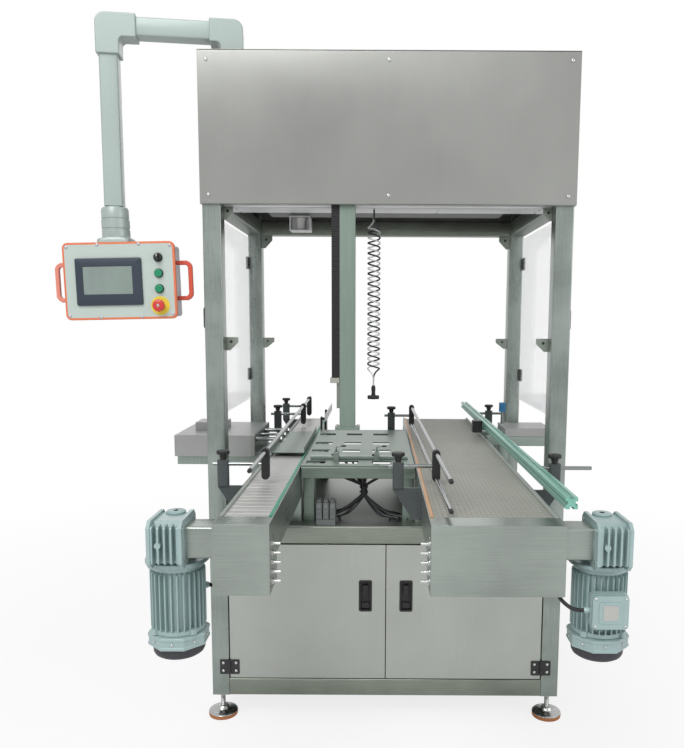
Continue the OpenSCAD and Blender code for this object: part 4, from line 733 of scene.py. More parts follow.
for side, body in ((1, "left_guard"), (-1, "right_guard")):
    piece(body + "_sheet", on_side([guard_shape], side), body, clear_sheet, [body + "_door"], bevel=0.6)
    piece(body + "_handle", on_side([bow] + bow_feet, side), body, black_moulding, [body + "_door"])
    on_pin = at_pin(hinge(True), GUARD_PIN, GUARD_HINGE_ZS, -90)
    piece(body + "_hinges", on_side(on_pin, side), body, hinge_black, [body + "_door"], bevel=0.4)
    on_pin = at_pin(hinge_screws(True), GUARD_PIN, GUARD_HINGE_ZS, -90)
    piece(body + "_hinge_screws", on_side(on_pin, side), body, bright_steel, [body + "_door"])

# The fixed halves of all eight hinges and the guards' catches are cast and painted black. The three-cornered
# gusset plates inside the posts have the side rails' brushed finish, and each is held by one black screw.
gussets, gusset_screws = [], []
gusset_list = [(50, HOOD_LOW - 40, 40, 30), (50, 1280, 44, 40), (845, 1262, 44, 50), (845, HOOD_LOW - 56, 56, 46)]
for y, z, tall, wide in gusset_list:
    plate = np.array(
        [(z, 0), (z, wide / 3), (z + tall * 0.6, wide), (z + tall, wide), (z + tall, 0)], float
    ) + (0, -INSIDE)
    gussets.append(prism(plate, "Y", y, y + 5))
    gusset_screws.append(button_screw((-INSIDE + wide * 0.42, y, z + tall * 0.66), "Y", -1, 5, 2.5))
fixed_shapes = at_pin(hinge(False), DOOR_PIN, DOOR_HINGE_ZS) + at_pin(hinge(False), GUARD_PIN, GUARD_HINGE_ZS, -90)
fixed_shapes += [block((-HALF + 8.3, -HALF + 28.3), (POST, POST + 20), (z, z + 30)) for z in GUARD_HINGE_ZS]
fixed_screws = at_pin(hinge_screws(False), DOOR_PIN, DOOR_HINGE_ZS)
fixed_screws += at_pin(hinge_screws(False), GUARD_PIN, GUARD_HINGE_ZS, -90)
piece(
    "fixed_hinges", fixed_shapes + on_side(fixed_shapes, -1), "frame", hinge_black,
    ["hinges_and_gussets"], bevel=0.5
)
piece(
    "fixed_hinge_screws", fixed_screws + on_side(fixed_screws, -1), "frame", bright_steel,
    ["hinges_and_gussets"]
)
piece(
    "gussets", gussets + on_side(gussets, -1), "frame", brushed_side_rails, ["hinges_and_gussets"],
    bevel=0.5
)
piece(
    "gusset_screws", gusset_screws + on_side(gusset_screws, -1), "frame", hinge_black,
    ["hinges_and_gussets"]
)

# Each conveyor is a channel of bent stainless sheet: two side plates with a deeper end box at the front, closed by
# a folded end plate and a top lip in front of the belt. Spacers join the sides, a square sleeve carries the drive.
DRIVE_Y, IDLER_Y, SHAFT_Z, LOOP_OUT = -645, 1298, 838, 48
SIDE_THICK, BOX_LEN, LIP_LEN = 3, 130, 76
conveyor_sheet = finish_of(
    "conveyor_sheet", (0.31, 0.345, 0.32), 0.30, 0.9, grain=(300, 9, 300), blotch=4, spread=0.18, bump=0.06, fine=0.4
)
end_sheet = finish_of(
    "end_sheet", (0.31, 0.345, 0.32), 0.30, 0.9, grain=(8, 500, 500), blotch=3, spread=0.24, bump=0.04, fine=0.25
)


def conveyor(x):
    """Side plates as one outline with the end box's step, and the spacers between them."""
    low, high = FRONT_END + SIDE_THICK - 1.5, REAR_END
    step = FRONT_END + BOX_LEN
    corner = np.linspace(0, math.pi / 2, 5)
    side = np.vstack(
        [
            [(low, BOX_LOW), (step - 4, BOX_LOW)],
            np.c_[step - 4 + 4 * np.sin(corner), BOX_LOW + 4 - 4 * np.cos(corner)],
            [(step, SIDE_LOW)],
            [(high - 6, SIDE_LOW)],
            np.c_[high - 6 + 6 * np.sin(corner), SIDE_LOW + 6 - 6 * np.cos(corner)],
            [(high, LIP), (low, LIP)],
        ]
    )
    keep = np.r_[True, np.linalg.norm(np.diff(side, axis=0), axis=1) > 1e-6]
    side = side[keep]
    shapes = [prism(side, "X", x[0], x[0] + SIDE_THICK), prism(side, "X", x[1] - SIDE_THICK, x[1])]
    for share in (0.15, 0.42, 0.68, 0.9):
        y = FRONT_END + share * (REAR_END - FRONT_END)
        shapes.append(round_bar(10, x[0] + SIDE_THICK, x[1] - SIDE_THICK, (0, y, SHAFT_Z), sides=24))
    return shapes


def end_plate(x):
    """The end box's front plate, its upright edges rounded where it is folded back, and the lip on top behind it."""
    fold = np.array(
        [
            (x[0], 5), (x[0] + 1.5, 1.5), (x[0] + 5, 0), (x[1] - 5, 0), (x[1] - 1.5, 1.5), (x[1], 5), (x[1] - 3, 5),
            (x[1] - 5.5, 3), (x[0] + 5.5, 3), (x[0] + 3, 5)
        ]
    )
    inner = (x[0] + SIDE_THICK, x[1] - SIDE_THICK)
    return [
        prism(fold + (0, FRONT_END), "Z", BOX_LOW, LIP),
        block(inner, (FRONT_END + 3, FRONT_END + LIP_LEN), (LIP - SHEET, LIP)),
        block(inner, (FRONT_END + LIP_LEN - SHEET, FRONT_END + LIP_LEN), (LIP - 5.5, LIP - SHEET)),
    ]


def sleeve(x):
    """The square sleeve round the drive shaft, between two X values."""
    return square_tube("X", x, (DRIVE_Y - 40, DRIVE_Y + 40), (SHAFT_Z - 40, SHAFT_Z + 40), corner=6, wall=5)


GEAR_X = 543
piece(
    "narrow_conveyor", conveyor((NARROW_LOW, NARROW_HIGH)), "frame",
    conveyor_sheet, ["left_conveyor_frame"], bevel=0.5,
)
piece(
    "wide_conveyor", conveyor((WIDE_LOW, WIDE_HIGH)), "frame",
    conveyor_sheet, ["right_conveyor_frame"], bevel=0.5,
)
narrow_sleeve, wide_sleeve = sleeve((-GEAR_X + 43, NARROW_LOW)), sleeve((WIDE_HIGH, GEAR_X - 43))
piece(
    "narrow_end_plate", end_plate((NARROW_LOW, NARROW_HIGH)) + [narrow_sleeve], "frame", end_sheet,
    ["left_conveyor_frame"], bevel=0.5
)
piece(
    "wide_end_plate", end_plate((WIDE_LOW, WIDE_HIGH)) + [wide_sleeve], "frame", end_sheet,
    ["right_conveyor_frame"], bevel=0.5
)

# The narrow belt is a chain of flat plates 38.1 mm apart, hinged underneath, and the wide one a modular plastic
# belt in rows 25.4 mm apart. Both run flat over the top, round a sprocket at each end and back underneath.
CHAIN_X, BELT_X = (-419.3, -303.3), (113, 417)
LOOP_MID = 44


def round_the_loop(count, start=0.0):
    """Places and headings at count equal steps along a racetrack: the top run, half a turn of radius LOOP_MID at
    the rear, the lower run and half a turn at the front. Returns Y, Z and the heading's cosine and sine."""
    run, bend = IDLER_Y - DRIVE_Y, math.pi * LOOP_MID
    s = (np.arange(count) + start) / count * 2 * (run + bend)
    leg = np.searchsorted(np.cumsum([run, bend, run, bend]), s, side="right")
    rest = s - np.array([0, run, run + bend, 2 * run + bend])[leg]
    a = np.where(
        leg == 1, rest / LOOP_MID, np.where(leg == 3, math.pi + rest / LOOP_MID, np.where(leg == 2, math.pi, 0.0))
    )
    y = np.choose(
        leg, [DRIVE_Y + rest, IDLER_Y + LOOP_MID * np.sin(a), IDLER_Y - rest, DRIVE_Y + LOOP_MID * np.sin(a)]
    )
    z = SHAFT_Z + np.choose(leg, [LOOP_MID + 0 * s, LOOP_MID * np.cos(a), -LOOP_MID + 0 * s, LOOP_MID * np.cos(a)])
    return y, z, np.cos(a), -np.sin(a)


def chain_of(link, count):
    """Sets a link, drawn about the origin with Y along the belt and Z outwards, at every step of the loop: Y and Z
    turn with the heading."""
    points, faces = np.asarray(link[0], float), link[1]
    y, z, c, s = round_the_loop(count)
    out = np.empty((count, len(points), 3))
    out[:, :, 0] = points[:, 0]
    out[:, :, 1] = y[:, None] + c[:, None] * points[:, 1] - s[:, None] * points[:, 2]
    out[:, :, 2] = z[:, None] + s[:, None] * points[:, 1] + c[:, None] * points[:, 2]
    faces = np.concatenate([np.asarray(faces, int) + n * len(points) for n in range(count)])
    return out.reshape(-1, 3), faces.tolist()


def plate_link(x, pitch, gap, thick, round_over, taper=0.0):
    """A plate as wide as the belt, its top edges rounded over and its underside narrower by taper, as a profile of
    eight points across the pitch."""
    half, r = (pitch - gap) / 2, round_over
    profile = np.array(
        [
            (-half + taper, -thick), (half - taper, -thick), (half, -r), (half - r * 0.4, -r * 0.3), (half - r, 0),
            (-half + r, 0), (-half + r * 0.4, -r * 0.3), (-half, -r),
        ]
    ) + (0, LOOP_OUT - LOOP_MID)
    n = len(profile)
    ring = np.concatenate([np.c_[np.full(n, v), profile] for v in x])
    k = np.arange(n)
    j = (k + 1) % n
    faces = np.stack([k, j, j + n, k + n], -1).tolist()
    for cap, flip in ((np.arange(n), True), (np.arange(n) + n, False)):
        quads = [[0, 1, 2, 7], [2, 3, 6, 7], [3, 4, 5, 6]]
        faces += [[int(cap[i]) for i in (q[::-1] if flip else q)] for q in quads]
    return ring, faces


slat_metal = finish_of(
    "slat_metal", (0.52, 0.515, 0.50), 0.42, 0.45, grain=(12, 500, 500), blotch=9, spread=0.20, bump=0.12, fine=0.5
)
belt_plastic = finish_of(
    "belt_plastic", (0.375, 0.375, 0.335), 0.55, 0.0, grain=300, blotch=5, spread=0.14, bump=0.05, fine=0.4
)


def grid_relief(material, step_x, step_y, start_y, depth, darker):
    """Adds a grid of sunk lines to a finish: each axis gives a smooth step that is 1 within a tenth of a step of a
    line, the larger of the two sinks the bump and darkens the colour."""
    nodes, links = material.node_tree.nodes, material.node_tree.links
    place = [n for n in nodes if n.type == "TEX_COORD"][0]
    split = nodes.new("ShaderNodeSeparateXYZ")
    links.new(place.outputs["Object"], split.inputs[0])
    edges = []
    for name, step, start in (("X", step_x, 0.0), ("Y", step_y, start_y)):
        ping = nodes.new("ShaderNodeMath")
        ping.operation = "PINGPONG"
        shift = nodes.new("ShaderNodeMath")
        shift.inputs[1].default_value = start
        links.new(split.outputs[name], shift.inputs[0])
        links.new(shift.outputs[0], ping.inputs[0])
        ping.inputs[1].default_value = step / 2
        edge = nodes.new("ShaderNodeMapRange")
        edge.interpolation_type = "SMOOTHSTEP"
        edge.inputs["From Min"].default_value = step * 0.06
        edge.inputs["From Max"].default_value = step * 0.14
        edge.inputs["To Min"].default_value = 1
        edge.inputs["To Max"].default_value = 0
        links.new(ping.outputs[0], edge.inputs["Value"])
        edges.append(edge)
    line = nodes.new("ShaderNodeMath")
    line.operation = "MAXIMUM"
    links.new(edges[0].outputs["Result"], line.inputs[0])
    links.new(edges[1].outputs["Result"], line.inputs[1])
    dark = nodes.new("ShaderNodeMix")
    dark.data_type = "RGBA"
    dark.blend_type = "MULTIPLY"
    dark.inputs["B"].default_value = (darker, darker, darker, 1)
    shader = nodes["Principled BSDF"]
    links.new(shader.inputs["Base Color"].links[0].from_socket, dark.inputs["A"])
    links.new(line.outputs[0], dark.inputs["Factor"])
    links.new(dark.outputs["Result"], shader.inputs["Base Color"])
    sink = nodes.new("ShaderNodeBump")
    sink.invert = True
    sink.inputs["Strength"].default_value = 0.6
    sink.inputs["Distance"].default_value = depth
    links.new(line.outputs[0], sink.inputs["Height"])
    links.new(shader.inputs["Normal"].links[0].from_socket, sink.inputs["Normal"])
    links.new(sink.outputs["Normal"], shader.inputs["Normal"])


first_row = float(in_row((0, DRIVE_Y, 0))[0][1])
LOOP_LENGTH = 2 * (IDLER_Y - DRIVE_Y + math.pi * LOOP_MID)
SLAT_PITCH, ROW_PITCH = 38.1, 25.4
SLATS, ROWS = round(LOOP_LENGTH / SLAT_PITCH), round(LOOP_LENGTH / ROW_PITCH)
grid_relief(belt_plastic, 0.0127, LOOP_LENGTH / ROWS / 1000, -first_row + LOOP_LENGTH / ROWS / 2000, 0.001, 0.78)
pitch = LOOP_LENGTH / SLATS
plate = plate_link(CHAIN_X, pitch, 1.6, 4.0, 1.4)
eighth = np.linspace(0, 2 * math.pi, 8, endpoint=False)
barrel = prism(
    np.c_[3.3 * np.cos(eighth) + pitch / 2, 3.3 * np.sin(eighth) - 0.4], "X", CHAIN_X[0] + 30, CHAIN_X[1] - 30
)
link = (np.vstack([plate[0], barrel[0]]), plate[1] + [[i + len(plate[0]) for i in f] for f in barrel[1]])


def whole_faces(shape, count):
    """Sets an uneven link, whose faces differ in their number of corners, at every step of the loop."""
    points, _ = chain_of((shape[0], [[0, 1, 2]]), count)
    return points, [[i + n * len(shape[0]) for i in f] for n in range(count) for f in shape[1]]


piece("slat_chain", [whole_faces(link, SLATS)], "frame", slat_metal, ["left_belt"])
row = plate_link(BELT_X, LOOP_LENGTH / ROWS, 1.0, 8.0, 1.2, taper=1.6)
piece("modular_belt", [chain_of(row, ROWS)], "frame", belt_plastic, ["right_belt"])

# Low-friction plastic strips run beside both belts. The inner one of the narrow conveyor is green, the inner one of
# the wide conveyor orange-brown, and the two outer ones are a plain pale grey.
green_strip = finish_of("green_strip", (0.03, 0.30, 0.19), 0.45, grain=(400, 12, 400), spread=0.12, bump=0.05)
orange_strip = finish_of("orange_strip", (0.62, 0.36, 0.20), 0.45, grain=(400, 12, 400), spread=0.10, bump=0.05)
pale_strip = finish_of("pale_strip", (0.33, 0.36, 0.33), 0.45, grain=(400, 12, 400), spread=0.10, bump=0.05)
STRIP_LOW, STRIP_TOP = 872, 893


def edge_strip(x):
    """A strip between two X values with a rounded top: half an oval on the side that is seen."""
    a = np.linspace(0, math.pi, 9)
    middle, half = (x[0] + x[1]) / 2, (x[1] - x[0]) / 2
    top = np.c_[STRIP_TOP - 2.5 + 2.5 * np.sin(a), middle + half * np.cos(a)]
    outline = np.vstack([(STRIP_LOW, x[1]), top, (STRIP_LOW, x[0])])
    return prism(outline, "Y", FRONT_END + LIP_LEN + 0.3, IDLER_Y)


for name, x, finish in (
    ("narrow_outer_strip", (NARROW_LOW + SIDE_THICK, CHAIN_X[0] - 0.3), pale_strip),
    ("narrow_inner_strip", (CHAIN_X[1] + 0.3, NARROW_HIGH - SIDE_THICK), green_strip),
    ("wide_inner_strip", (WIDE_LOW + SIDE_THICK, BELT_X[0] - 0.3), orange_strip),
    ("wide_outer_strip", (BELT_X[1] + 0.3, WIDE_HIGH - SIDE_THICK), pale_strip),
):
    piece(name, [edge_strip(x)], "frame", finish, ["wear_strips"])

# A worm gearbox in pale green enamel sits outside each conveyor: two square flanges with cut corners and bolts, a
# finned housing between them, a hollow shaft's cover in the middle and the worm's round housing behind.
drive_paint = finish_of(
    "drive_paint", (0.32, 0.435, 0.43), 0.40, 0.1, grain=260, blotch=9, spread=0.13, bump=0.30, fine=0.45, coat=0.35
)
GEAR_H, GEAR_L, GEAR_W, GEAR_CORE, GEAR_FLANGE, GEAR_FOOT, GROOVE, WORM_OFF = 120, 144, 86, 68, 9, 12, 14, 45


def cut_corners(width, height, cut):
    """An eight-sided outline: a rectangle with its corners cut off at 45 degrees."""
    w, h = width / 2, height / 2
    return np.array(
        [
            (w, -h + cut), (w, h - cut), (w - cut, h), (-w + cut, h), (-w, h - cut), (-w, -h + cut), (-w + cut, -h),
            (w - cut, -h)
        ],
        float
    )


gear_shapes, gear_bolts = [], []
half = GEAR_W / 2
core_in = GEAR_L - 2 * GEAR_FOOT - GROOVE
gear_shapes.append(
    prism(cut_corners(core_in, GEAR_H - GEAR_FOOT, 12) + (GROOVE / 2, 0), "X", -GEAR_CORE / 2, GEAR_CORE / 2)
)
for x0, x1 in ((-half, -half + GEAR_FLANGE), (half - GEAR_FLANGE, half)):
    gear_shapes.append(prism(cut_corners(GEAR_L, GEAR_H, 15.5), "X", x0, x1))
for way in (-1, 1):
    face = way * half
    boss = [(0, 0), (36, 0), (36, 0.8), (33, 1.6), (0, 1.6)]
    gear_shapes.append(lathe([(r, h * way) for r, h in boss], (face, -6, 0), "X", 40))
    gear_shapes += [round_bar(6.5, 0, way * 1.2, (face, a, b)) for a in (-58, 58) for b in (-40, 40)]
    for a in (-58, 58):
        for b in (-40, 40):
            gear_bolts.append(prism(hexagon(4.5, 0.4) + (a, b), "X", *sorted((face + way * 1.0, face + way * 1.9))))
ribs = np.linspace(-GEAR_CORE / 2 + 2.5, GEAR_CORE / 2 - 2.5, 5)
for x in ribs:
    gear_shapes.append(prism(rounded(GEAR_L / 2 - 5, GEAR_H - 24, 8) + (-GEAR_L / 4, 0), "X", x - 2.5, x + 2.5))
gear_shapes.append(lathe([(0, -69.4), (5.5, -69.4), (8, -68.4), (8, 0), (0, 0)], (-GEAR_CORE / 4, 0, 0), "Y", 24))
worm = [(0, -60), (25, -60), (25, 52), (23.5, 52), (23.5, 54), (25, 55), (25, 58), (22, 60), (0, 60)]
gear_shapes.append(lathe(worm, (0, WORM_OFF, 0), "Z", 40))
gear_bolts.append(round_bar(7, 59.6, 60, (0, WORM_OFF, 0), "Z"))
gear_places = [(x, DRIVE_Y, SHAFT_Z) for x in (-GEAR_X, GEAR_X)]
piece(
    "gear_housings", [moved(s, p) for p in gear_places for s in gear_shapes], "frame", drive_paint,
    ["gearboxes"], bevel=1.2
)
piece(
    "gear_bolts", [moved(s, p) for p in gear_places for s in gear_bolts], "frame", bright_steel,
    ["gearboxes"], bevel=0.3
)

# The motor hangs below, flange-mounted: an aluminium body with cooling ribs all round, a terminal box
# with a screwed lid and a cable gland, and an eight-sided cast cover over the fan with a dark round cap under it.
MOTOR_Y, MOTOR_TOP, MOTOR_LOW, MOTOR_R, FLANGE_R = -600, 778, 588, 70, 80
TERMINAL_W, TERMINAL_H = 92, 88
cap_dark = finish_of("cap_dark", (0.040, 0.038, 0.046), 0.5, 0.1, grain=300, spread=0.25, bump=0.25)
plate_bare = finish_of("plate_bare", (0.50, 0.50, 0.48), 0.35, 0.8, grain=(20, 400, 400), spread=0.08, bump=0.04)


def motor_body():
    """A flange, a smooth core, 28 ribs round it and four lugs at the fan's end. Each rib is a thin plate from the
    core out to MOTOR_R, and its outer upper corner is 4 mm lower."""
    shapes = []
    ring = [(0, 767), (77, 767), (FLANGE_R, 768.5), (FLANGE_R, 776.5), (78.5, MOTOR_TOP), (0, MOTOR_TOP)]
    shapes.append(lathe(ring, (0, 0, 0), "Z", 64))
    core = [
        (0, MOTOR_LOW), (64, MOTOR_LOW), (67.5, MOTOR_LOW + 1.5), (67.5, MOTOR_LOW + 12), (57, MOTOR_LOW + 14),
        (57, 750), (66.5, 754), (66.5, 762), (70, 767), (0, 767)
    ]
    shapes.append(lathe(core, (0, 0, 0), "Z", 64))
    for n in range(28):
        rib = block((54, MOTOR_R), (-1.7, 1.7), (MOTOR_LOW + 12, 751))
        rib[0][:, 2] -= np.where((rib[0][:, 0] > 65) & (rib[0][:, 2] > 700), 4, 0)
        shapes.append(turned(rib, n * 360 / 28))
    for n in range(4):
        lug = prism(rounded(20, 18, 5) + (66, 0), "Z", MOTOR_LOW + 1, MOTOR_LOW + 16)
        shapes.append(turned(lug, 45 + 90 * n))
    return shapes


def terminal_box():
    """A neck, a box, a narrower step, a lid with a raised field and a gland, then the lid's four screws and its bare
    plate. Y grows away from the motor."""
    z = MOTOR_TOP - 62 - TERMINAL_H / 2
    base = rounded(TERMINAL_H, TERMINAL_W, 9) + (z, 0)
    neck = rounded(TERMINAL_H - 16, TERMINAL_W - 16, 9) + (z, 0)
    lid = rounded(TERMINAL_H - 3, TERMINAL_W - 3, 9) + (z, 0)
    shapes = [
        prism(neck, "Y", 60, 72), prism(base, "Y", 70, 92), prism(lid, "Y", 93.2, 102.5),
        prism(rounded(TERMINAL_H - 6, TERMINAL_W - 6, 8) + (z, 0), "Y", 91, 94)
    ]
    shapes.append(prism(rounded(TERMINAL_H - 34, TERMINAL_W - 34, 6) + (z, 0), "Y", 102.5, 104.2))
    gland = [(0, 44), (9, 44), (9, 46), (7.2, 46.6), (7.2, 48), (9, 48.6), (9, 56), (6.6, 61.5), (0, 62)]
    shapes.append(lathe(gland, (0, 81, z), "X", 6))
    screws = [button_screw((a * 37, 102.5, z + b * 35), "Y", 1, 3.6, 2.3) for a in (-1, 1) for b in (-1, 1)]
    return shapes, screws, prism(rounded(38, 36, 2) + (z, 0), "Y", 104.2, 104.9)


motor_shapes = motor_body()
box_shapes, box_screws, bare_plate = terminal_box()
eight = np.radians(22.5 + 45 * np.arange(8))


def octagon(radius):
    """Eight points on a circle, flat sides to the front."""
    return np.c_[radius * np.cos(eight), radius * np.sin(eight)]


def octagon_cover():
    """The fan's cover: octagons of changing size joined top to bottom, with a rolled edge at both ends."""
    steps = [
        (0.90, 588), (0.985, 586), (1.0, 583), (1.0, 578), (0.975, 577), (0.975, 562), (1.0, 560.5), (1.0, 556),
        (0.97, 553), (0.90, 552)
    ]
    points = np.vstack([np.c_[octagon(79 * k), np.full(8, z)] for k, z in steps[::-1]])
    return points, grid_faces(len(steps), 8, around=True, caps=True)


fan_cap = [(0, 522), (40, 522), (56, 524), (62, 528), (65.2, 534), (66, 542), (66, 552), (0, 552)]
cover_screws = [turned(button_screw((73.6, 0, 570), "X", 1, 3.2, 1.6), 45 * n) for n in range(8)]
for side, name in ((-1, "left_motor"), (1, "right_motor")):
    place = (side * GEAR_X, MOTOR_Y, 0)
    turn = 0 if side < 0 else 180
    box_here = [turned(s, turn) for s in box_shapes]
    screws_here = [turned(s, turn) for s in box_screws]
    piece(
        name + "_body", [moved(s, place) for s in motor_shapes + box_here], "frame", drive_paint,
        [name], bevel=0.9
    )
    piece(name + "_screws", [moved(s, place) for s in screws_here], "frame", bright_steel, [name])
    piece(name + "_plate", [moved(turned(bare_plate, turn), place)], "frame", plate_bare, [name])
both = [(-GEAR_X, MOTOR_Y, 0), (GEAR_X, MOTOR_Y, 0)]
piece(
    "fan_cover_shells", [moved(octagon_cover(), p) for p in both], "frame", drive_paint,
    ["fan_covers"], bevel=1.0
)
piece(
    "fan_caps", [moved(lathe(fan_cap, (0, 0, 0), "Z", 56), p) for p in both], "frame", cap_dark,
    ["fan_covers"]
)
piece(
    "fan_screws", [moved(s, p) for p in both for s in cover_screws], "frame", bright_steel,
    ["fan_covers"]
)

# The control panel hangs from an arm of square aluminium tube in pale green-grey enamel. Two cast elbows with round
# outer corners join a level tube and a drop tube, and the first turns on a round base on the hood.
ARM_BASE, ARM_YAW, ARM_LEN, ARM_Z, ELBOW, ARM_TUBE = (-505, 62), 7.9, 382, 2292, 72, 57
ELBOW_RUN, CORNER_RUN, DROP_END, TURN_FOOT = 70, 88, 1742, 2230.3
SWIVEL_AT, SWIVEL_R, BUSH_H = (-883.375, 9.496), 16, 30
arm_enamel = finish_of(
    "arm_enamel", (0.36, 0.43, 0.405), 0.40, 0.15, grain=200, blotch=3, spread=0.07, bump=0.06, fine=0.35, coat=0.25
)
yaw = math.radians(ARM_YAW)


def on_arm(points):
    """From the arm's own frame, drawn along -X from its turning axis: turned by the yaw, then moved to the base."""
    c, s = math.cos(yaw), math.sin(yaw)
    return np.c_[
        c * points[:, 0] - s * points[:, 1] + ARM_BASE[0], s * points[:, 0] + c * points[:, 1] + ARM_BASE[1],
        points[:, 2]
    ]


def loft(outlines, axis, levels, loop=False, flip=False):
    """Outlines of as many points each, one at each level along an axis, joined by faces; closed by end faces, or
    back to the first outline where the stack is a loop."""
    outlines = np.asarray(outlines, float)
    m, n = outlines.shape[:2]
    first, second, third = AXES[axis]
    out = np.empty((m, n, 3))
    out[:, :, first], out[:, :, second] = outlines[:, :, 0], outlines[:, :, 1]
    out[:, :, third] = np.asarray(levels, float)[:, None]
    faces = grid_faces(m, n, around=True, caps=not loop)
    if loop:
        k = np.arange(n)
        j = (k + 1) % n
        faces += np.stack([k + (m - 1) * n, j + (m - 1) * n, j, k], -1).tolist()
    return out.reshape(-1, 3), [f[::-1] for f in faces] if flip else faces


def elbow(run, drop, inner_r=14, outer_r=30):
    """An L of two legs with round corners inside and out, in X and Z about the crossing of the legs' middles."""
    h = ELBOW / 2
    q = np.linspace(0, math.pi / 2, 8)
    inside = np.c_[-h - inner_r + inner_r * np.sin(q), -h - inner_r + inner_r * np.cos(q)]
    outside = np.c_[h - outer_r + outer_r * np.cos(q), h - outer_r + outer_r * np.sin(q)]
    return np.vstack([[(-run, -h)], inside, [(-h, -drop), (h, -drop)], outside, [(-run, h)]])


def elbow_body(outline, turn_over=False):
    """The elbow's outline between its two flat faces, as drawn or mirrored for the far end of the arm."""
    shift = (0, ARM_Z)
    points = outline * (-1 if turn_over else 1, 1) + shift
    if turn_over:
        points = points - (ARM_LEN, 0)
    return prism(points[:, ::-1], "Y", -ELBOW / 2, ELBOW / 2)


base_elbow = elbow_body(elbow(ELBOW_RUN, ARM_Z - TURN_FOOT))
corner_elbow = elbow_body(elbow(CORNER_RUN, CORNER_RUN), turn_over=True)
piece(
    "arm_elbow_castings", [base_elbow, corner_elbow], "arm", arm_enamel, ["arm_elbows"], bevel=4.0,
    tilt=on_arm
)
half = ARM_TUBE / 2
level_tube = square_tube(
    "X", (-ARM_LEN + CORNER_RUN, -ELBOW_RUN), (-half, half), (ARM_Z - half, ARM_Z + half), corner=6, wall=4
)
drop_tube = square_tube(
    "Z", (-ARM_LEN - half, -ARM_LEN + half), (-half, half), (DROP_END, ARM_Z - CORNER_RUN), corner=6, wall=4
)
circle_20 = np.linspace(0, 2 * math.pi, 20, endpoint=False) + math.radians(9)
bush_hole = (SWIVEL_R + 0.05) * np.c_[np.cos(circle_20), np.sin(circle_20)] - (ARM_LEN, 0)
bush = pipe(rounded(49, 49, 2) - (ARM_LEN, 0), bush_hole, "Z", DROP_END, DROP_END + BUSH_H)
piece("arm_square_tubes", [level_tube, drop_tube, bush], "arm", arm_enamel, ["arm_tubes"], tilt=on_arm)
base_profile = [(0, 2222), (34, 2222), (34, 2228.5), (32.5, 2230), (20, 2230), (20, 2261), (19, 2262), (0, 2262)]
piece(
    "turning_base", [lathe(base_profile, (*ARM_BASE, 0), sides=40)], "frame", arm_enamel, ["hood_covers"]
)
corner_screws = [
    button_screw((-ARM_LEN + x, y, ARM_Z - ELBOW / 2), "Z", -1, 3.2, 1.6) for x in (56, 78) for y in (-16, 16)
]
piece("arm_elbow_screws", corner_screws, "arm", bright_steel, ["arm_elbows"], tilt=on_arm)

# The panel is an aluminium box with a flat front, edged all round by a moulded orange frame with eight clamping
# lugs. It hangs from a stepped round coupling, and two orange handles stand out at its sides.
PANEL_W, PANEL_H, PANEL_D, RIM_CORNER = 360, 246, 98, 18
PANEL_AT, PANEL_TILT = (-860.375, -39.504, 1503.6), 1.4
case_paint = finish_of(
    "case_paint", (0.44, 0.425, 0.47), 0.42, 0.2, grain=260, blotch=4, spread=0.08, bump=0.08, fine=0.4, coat=0.2
)
face_paint = finish_of(
    "face_paint", (0.50, 0.575, 0.535), 0.38, 0.1, grain=500, blotch=3, spread=0.04, bump=0.05, coat=0.2
)
rim_orange = finish_of("rim_orange", (0.72, 0.19, 0.085), 0.42, 0.0, grain=700, blotch=6, spread=0.10, bump=0.10)
# Both handles are one orange moulding. The right one is painted a darker red as painted shade, and the left one a
# paler pink as painted light.
handle_red_painted_shade = finish_of("handle_red_painted_shade", (0.62, 0.085, 0.045), 0.45, 0.0, grain=700, blotch=6, spread=0.10, bump=0.12)
handle_pink_painted_light = finish_of("handle_pink_painted_light", (0.78, 0.27, 0.20), 0.45, 0.0, grain=700, blotch=6, spread=0.10, bump=0.12)


def on_panel(points):
    """From the panel's own frame, X to the right, Y into it and Z up, with its right end raised by the tilt."""
    c, s = math.cos(math.radians(PANEL_TILT)), math.sin(math.radians(PANEL_TILT))
    x, y, z = points.T
    return np.c_[c * x - s * z, y, s * x + c * z] + PANEL_AT


def panel_outline(inset, radius):
    """The panel's outline with rounded corners, drawn in by inset on every side, as Z and X."""
    return rounded(PANEL_H - 2 * inset, PANEL_W - 2 * inset, max(radius - inset, 1.0), steps=7)


case_steps = [(8, 5), (8, 92), (8.8, 95), (10.5, 97), (14, PANEL_D)]
case_shell = loft([panel_outline(i, RIM_CORNER) for i, _ in case_steps], "Y", [y for _, y in case_steps])
face_plate = prism(panel_outline(7, RIM_CORNER), "Y", 2, 5)
rim_steps = [
    (8, 14), (1.5, 14), (0.4, 13.2), (0, 12), (0, 4.6), (0.5, 3.2), (1.6, 2.2), (3.2, 1.9), (6, 1.9), (7.4, 2.3),
    (8, 3.4)
]
rim_steps = [(i, max(y, 2.0)) for i, y in rim_steps]
rim_shape = loft(
    [panel_outline(i, RIM_CORNER) for i, _ in rim_steps], "Y", [y for _, y in rim_steps], loop=True, flip=True
)
lug_places = [(x, z) for x in (-66, 66) for z in (-115, 115)] + [(x, z) for x in (-166, 166) for z in (-109, 109)]
lug_shapes = [lathe([(0, 2), (5.5, 2), (5.5, 0.9), (4.6, 0.3), (0, 0.3)], (x, 0, z), "Y", 18) for x, z in lug_places]
lug_screws = [button_screw((x, 0.3, z), "Y", -1, 3.0, 1.4) for x, z in lug_places]
coupling_steps = [
    (106, 88, 16, 112), (106, 88, 16, 131), (102, 86, 20, 136), (92, 84, 38, 139), (88, 88, 43.9, 143),
    (88, 88, 43.9, 163), (84, 84, 41.9, 164.5), (84, 84, 41.9, 168), (88, 88, 43.9, 169.5), (88, 88, 43.9, 196),
    (83, 83, 41.4, 197.5), (83, 83, 41.4, 200), (86, 86, 42.9, 201.5), (86, 86, 42.9, 228), (80, 80, 39.9, 234),
    (70, 70, 34.9, 236.8),
]
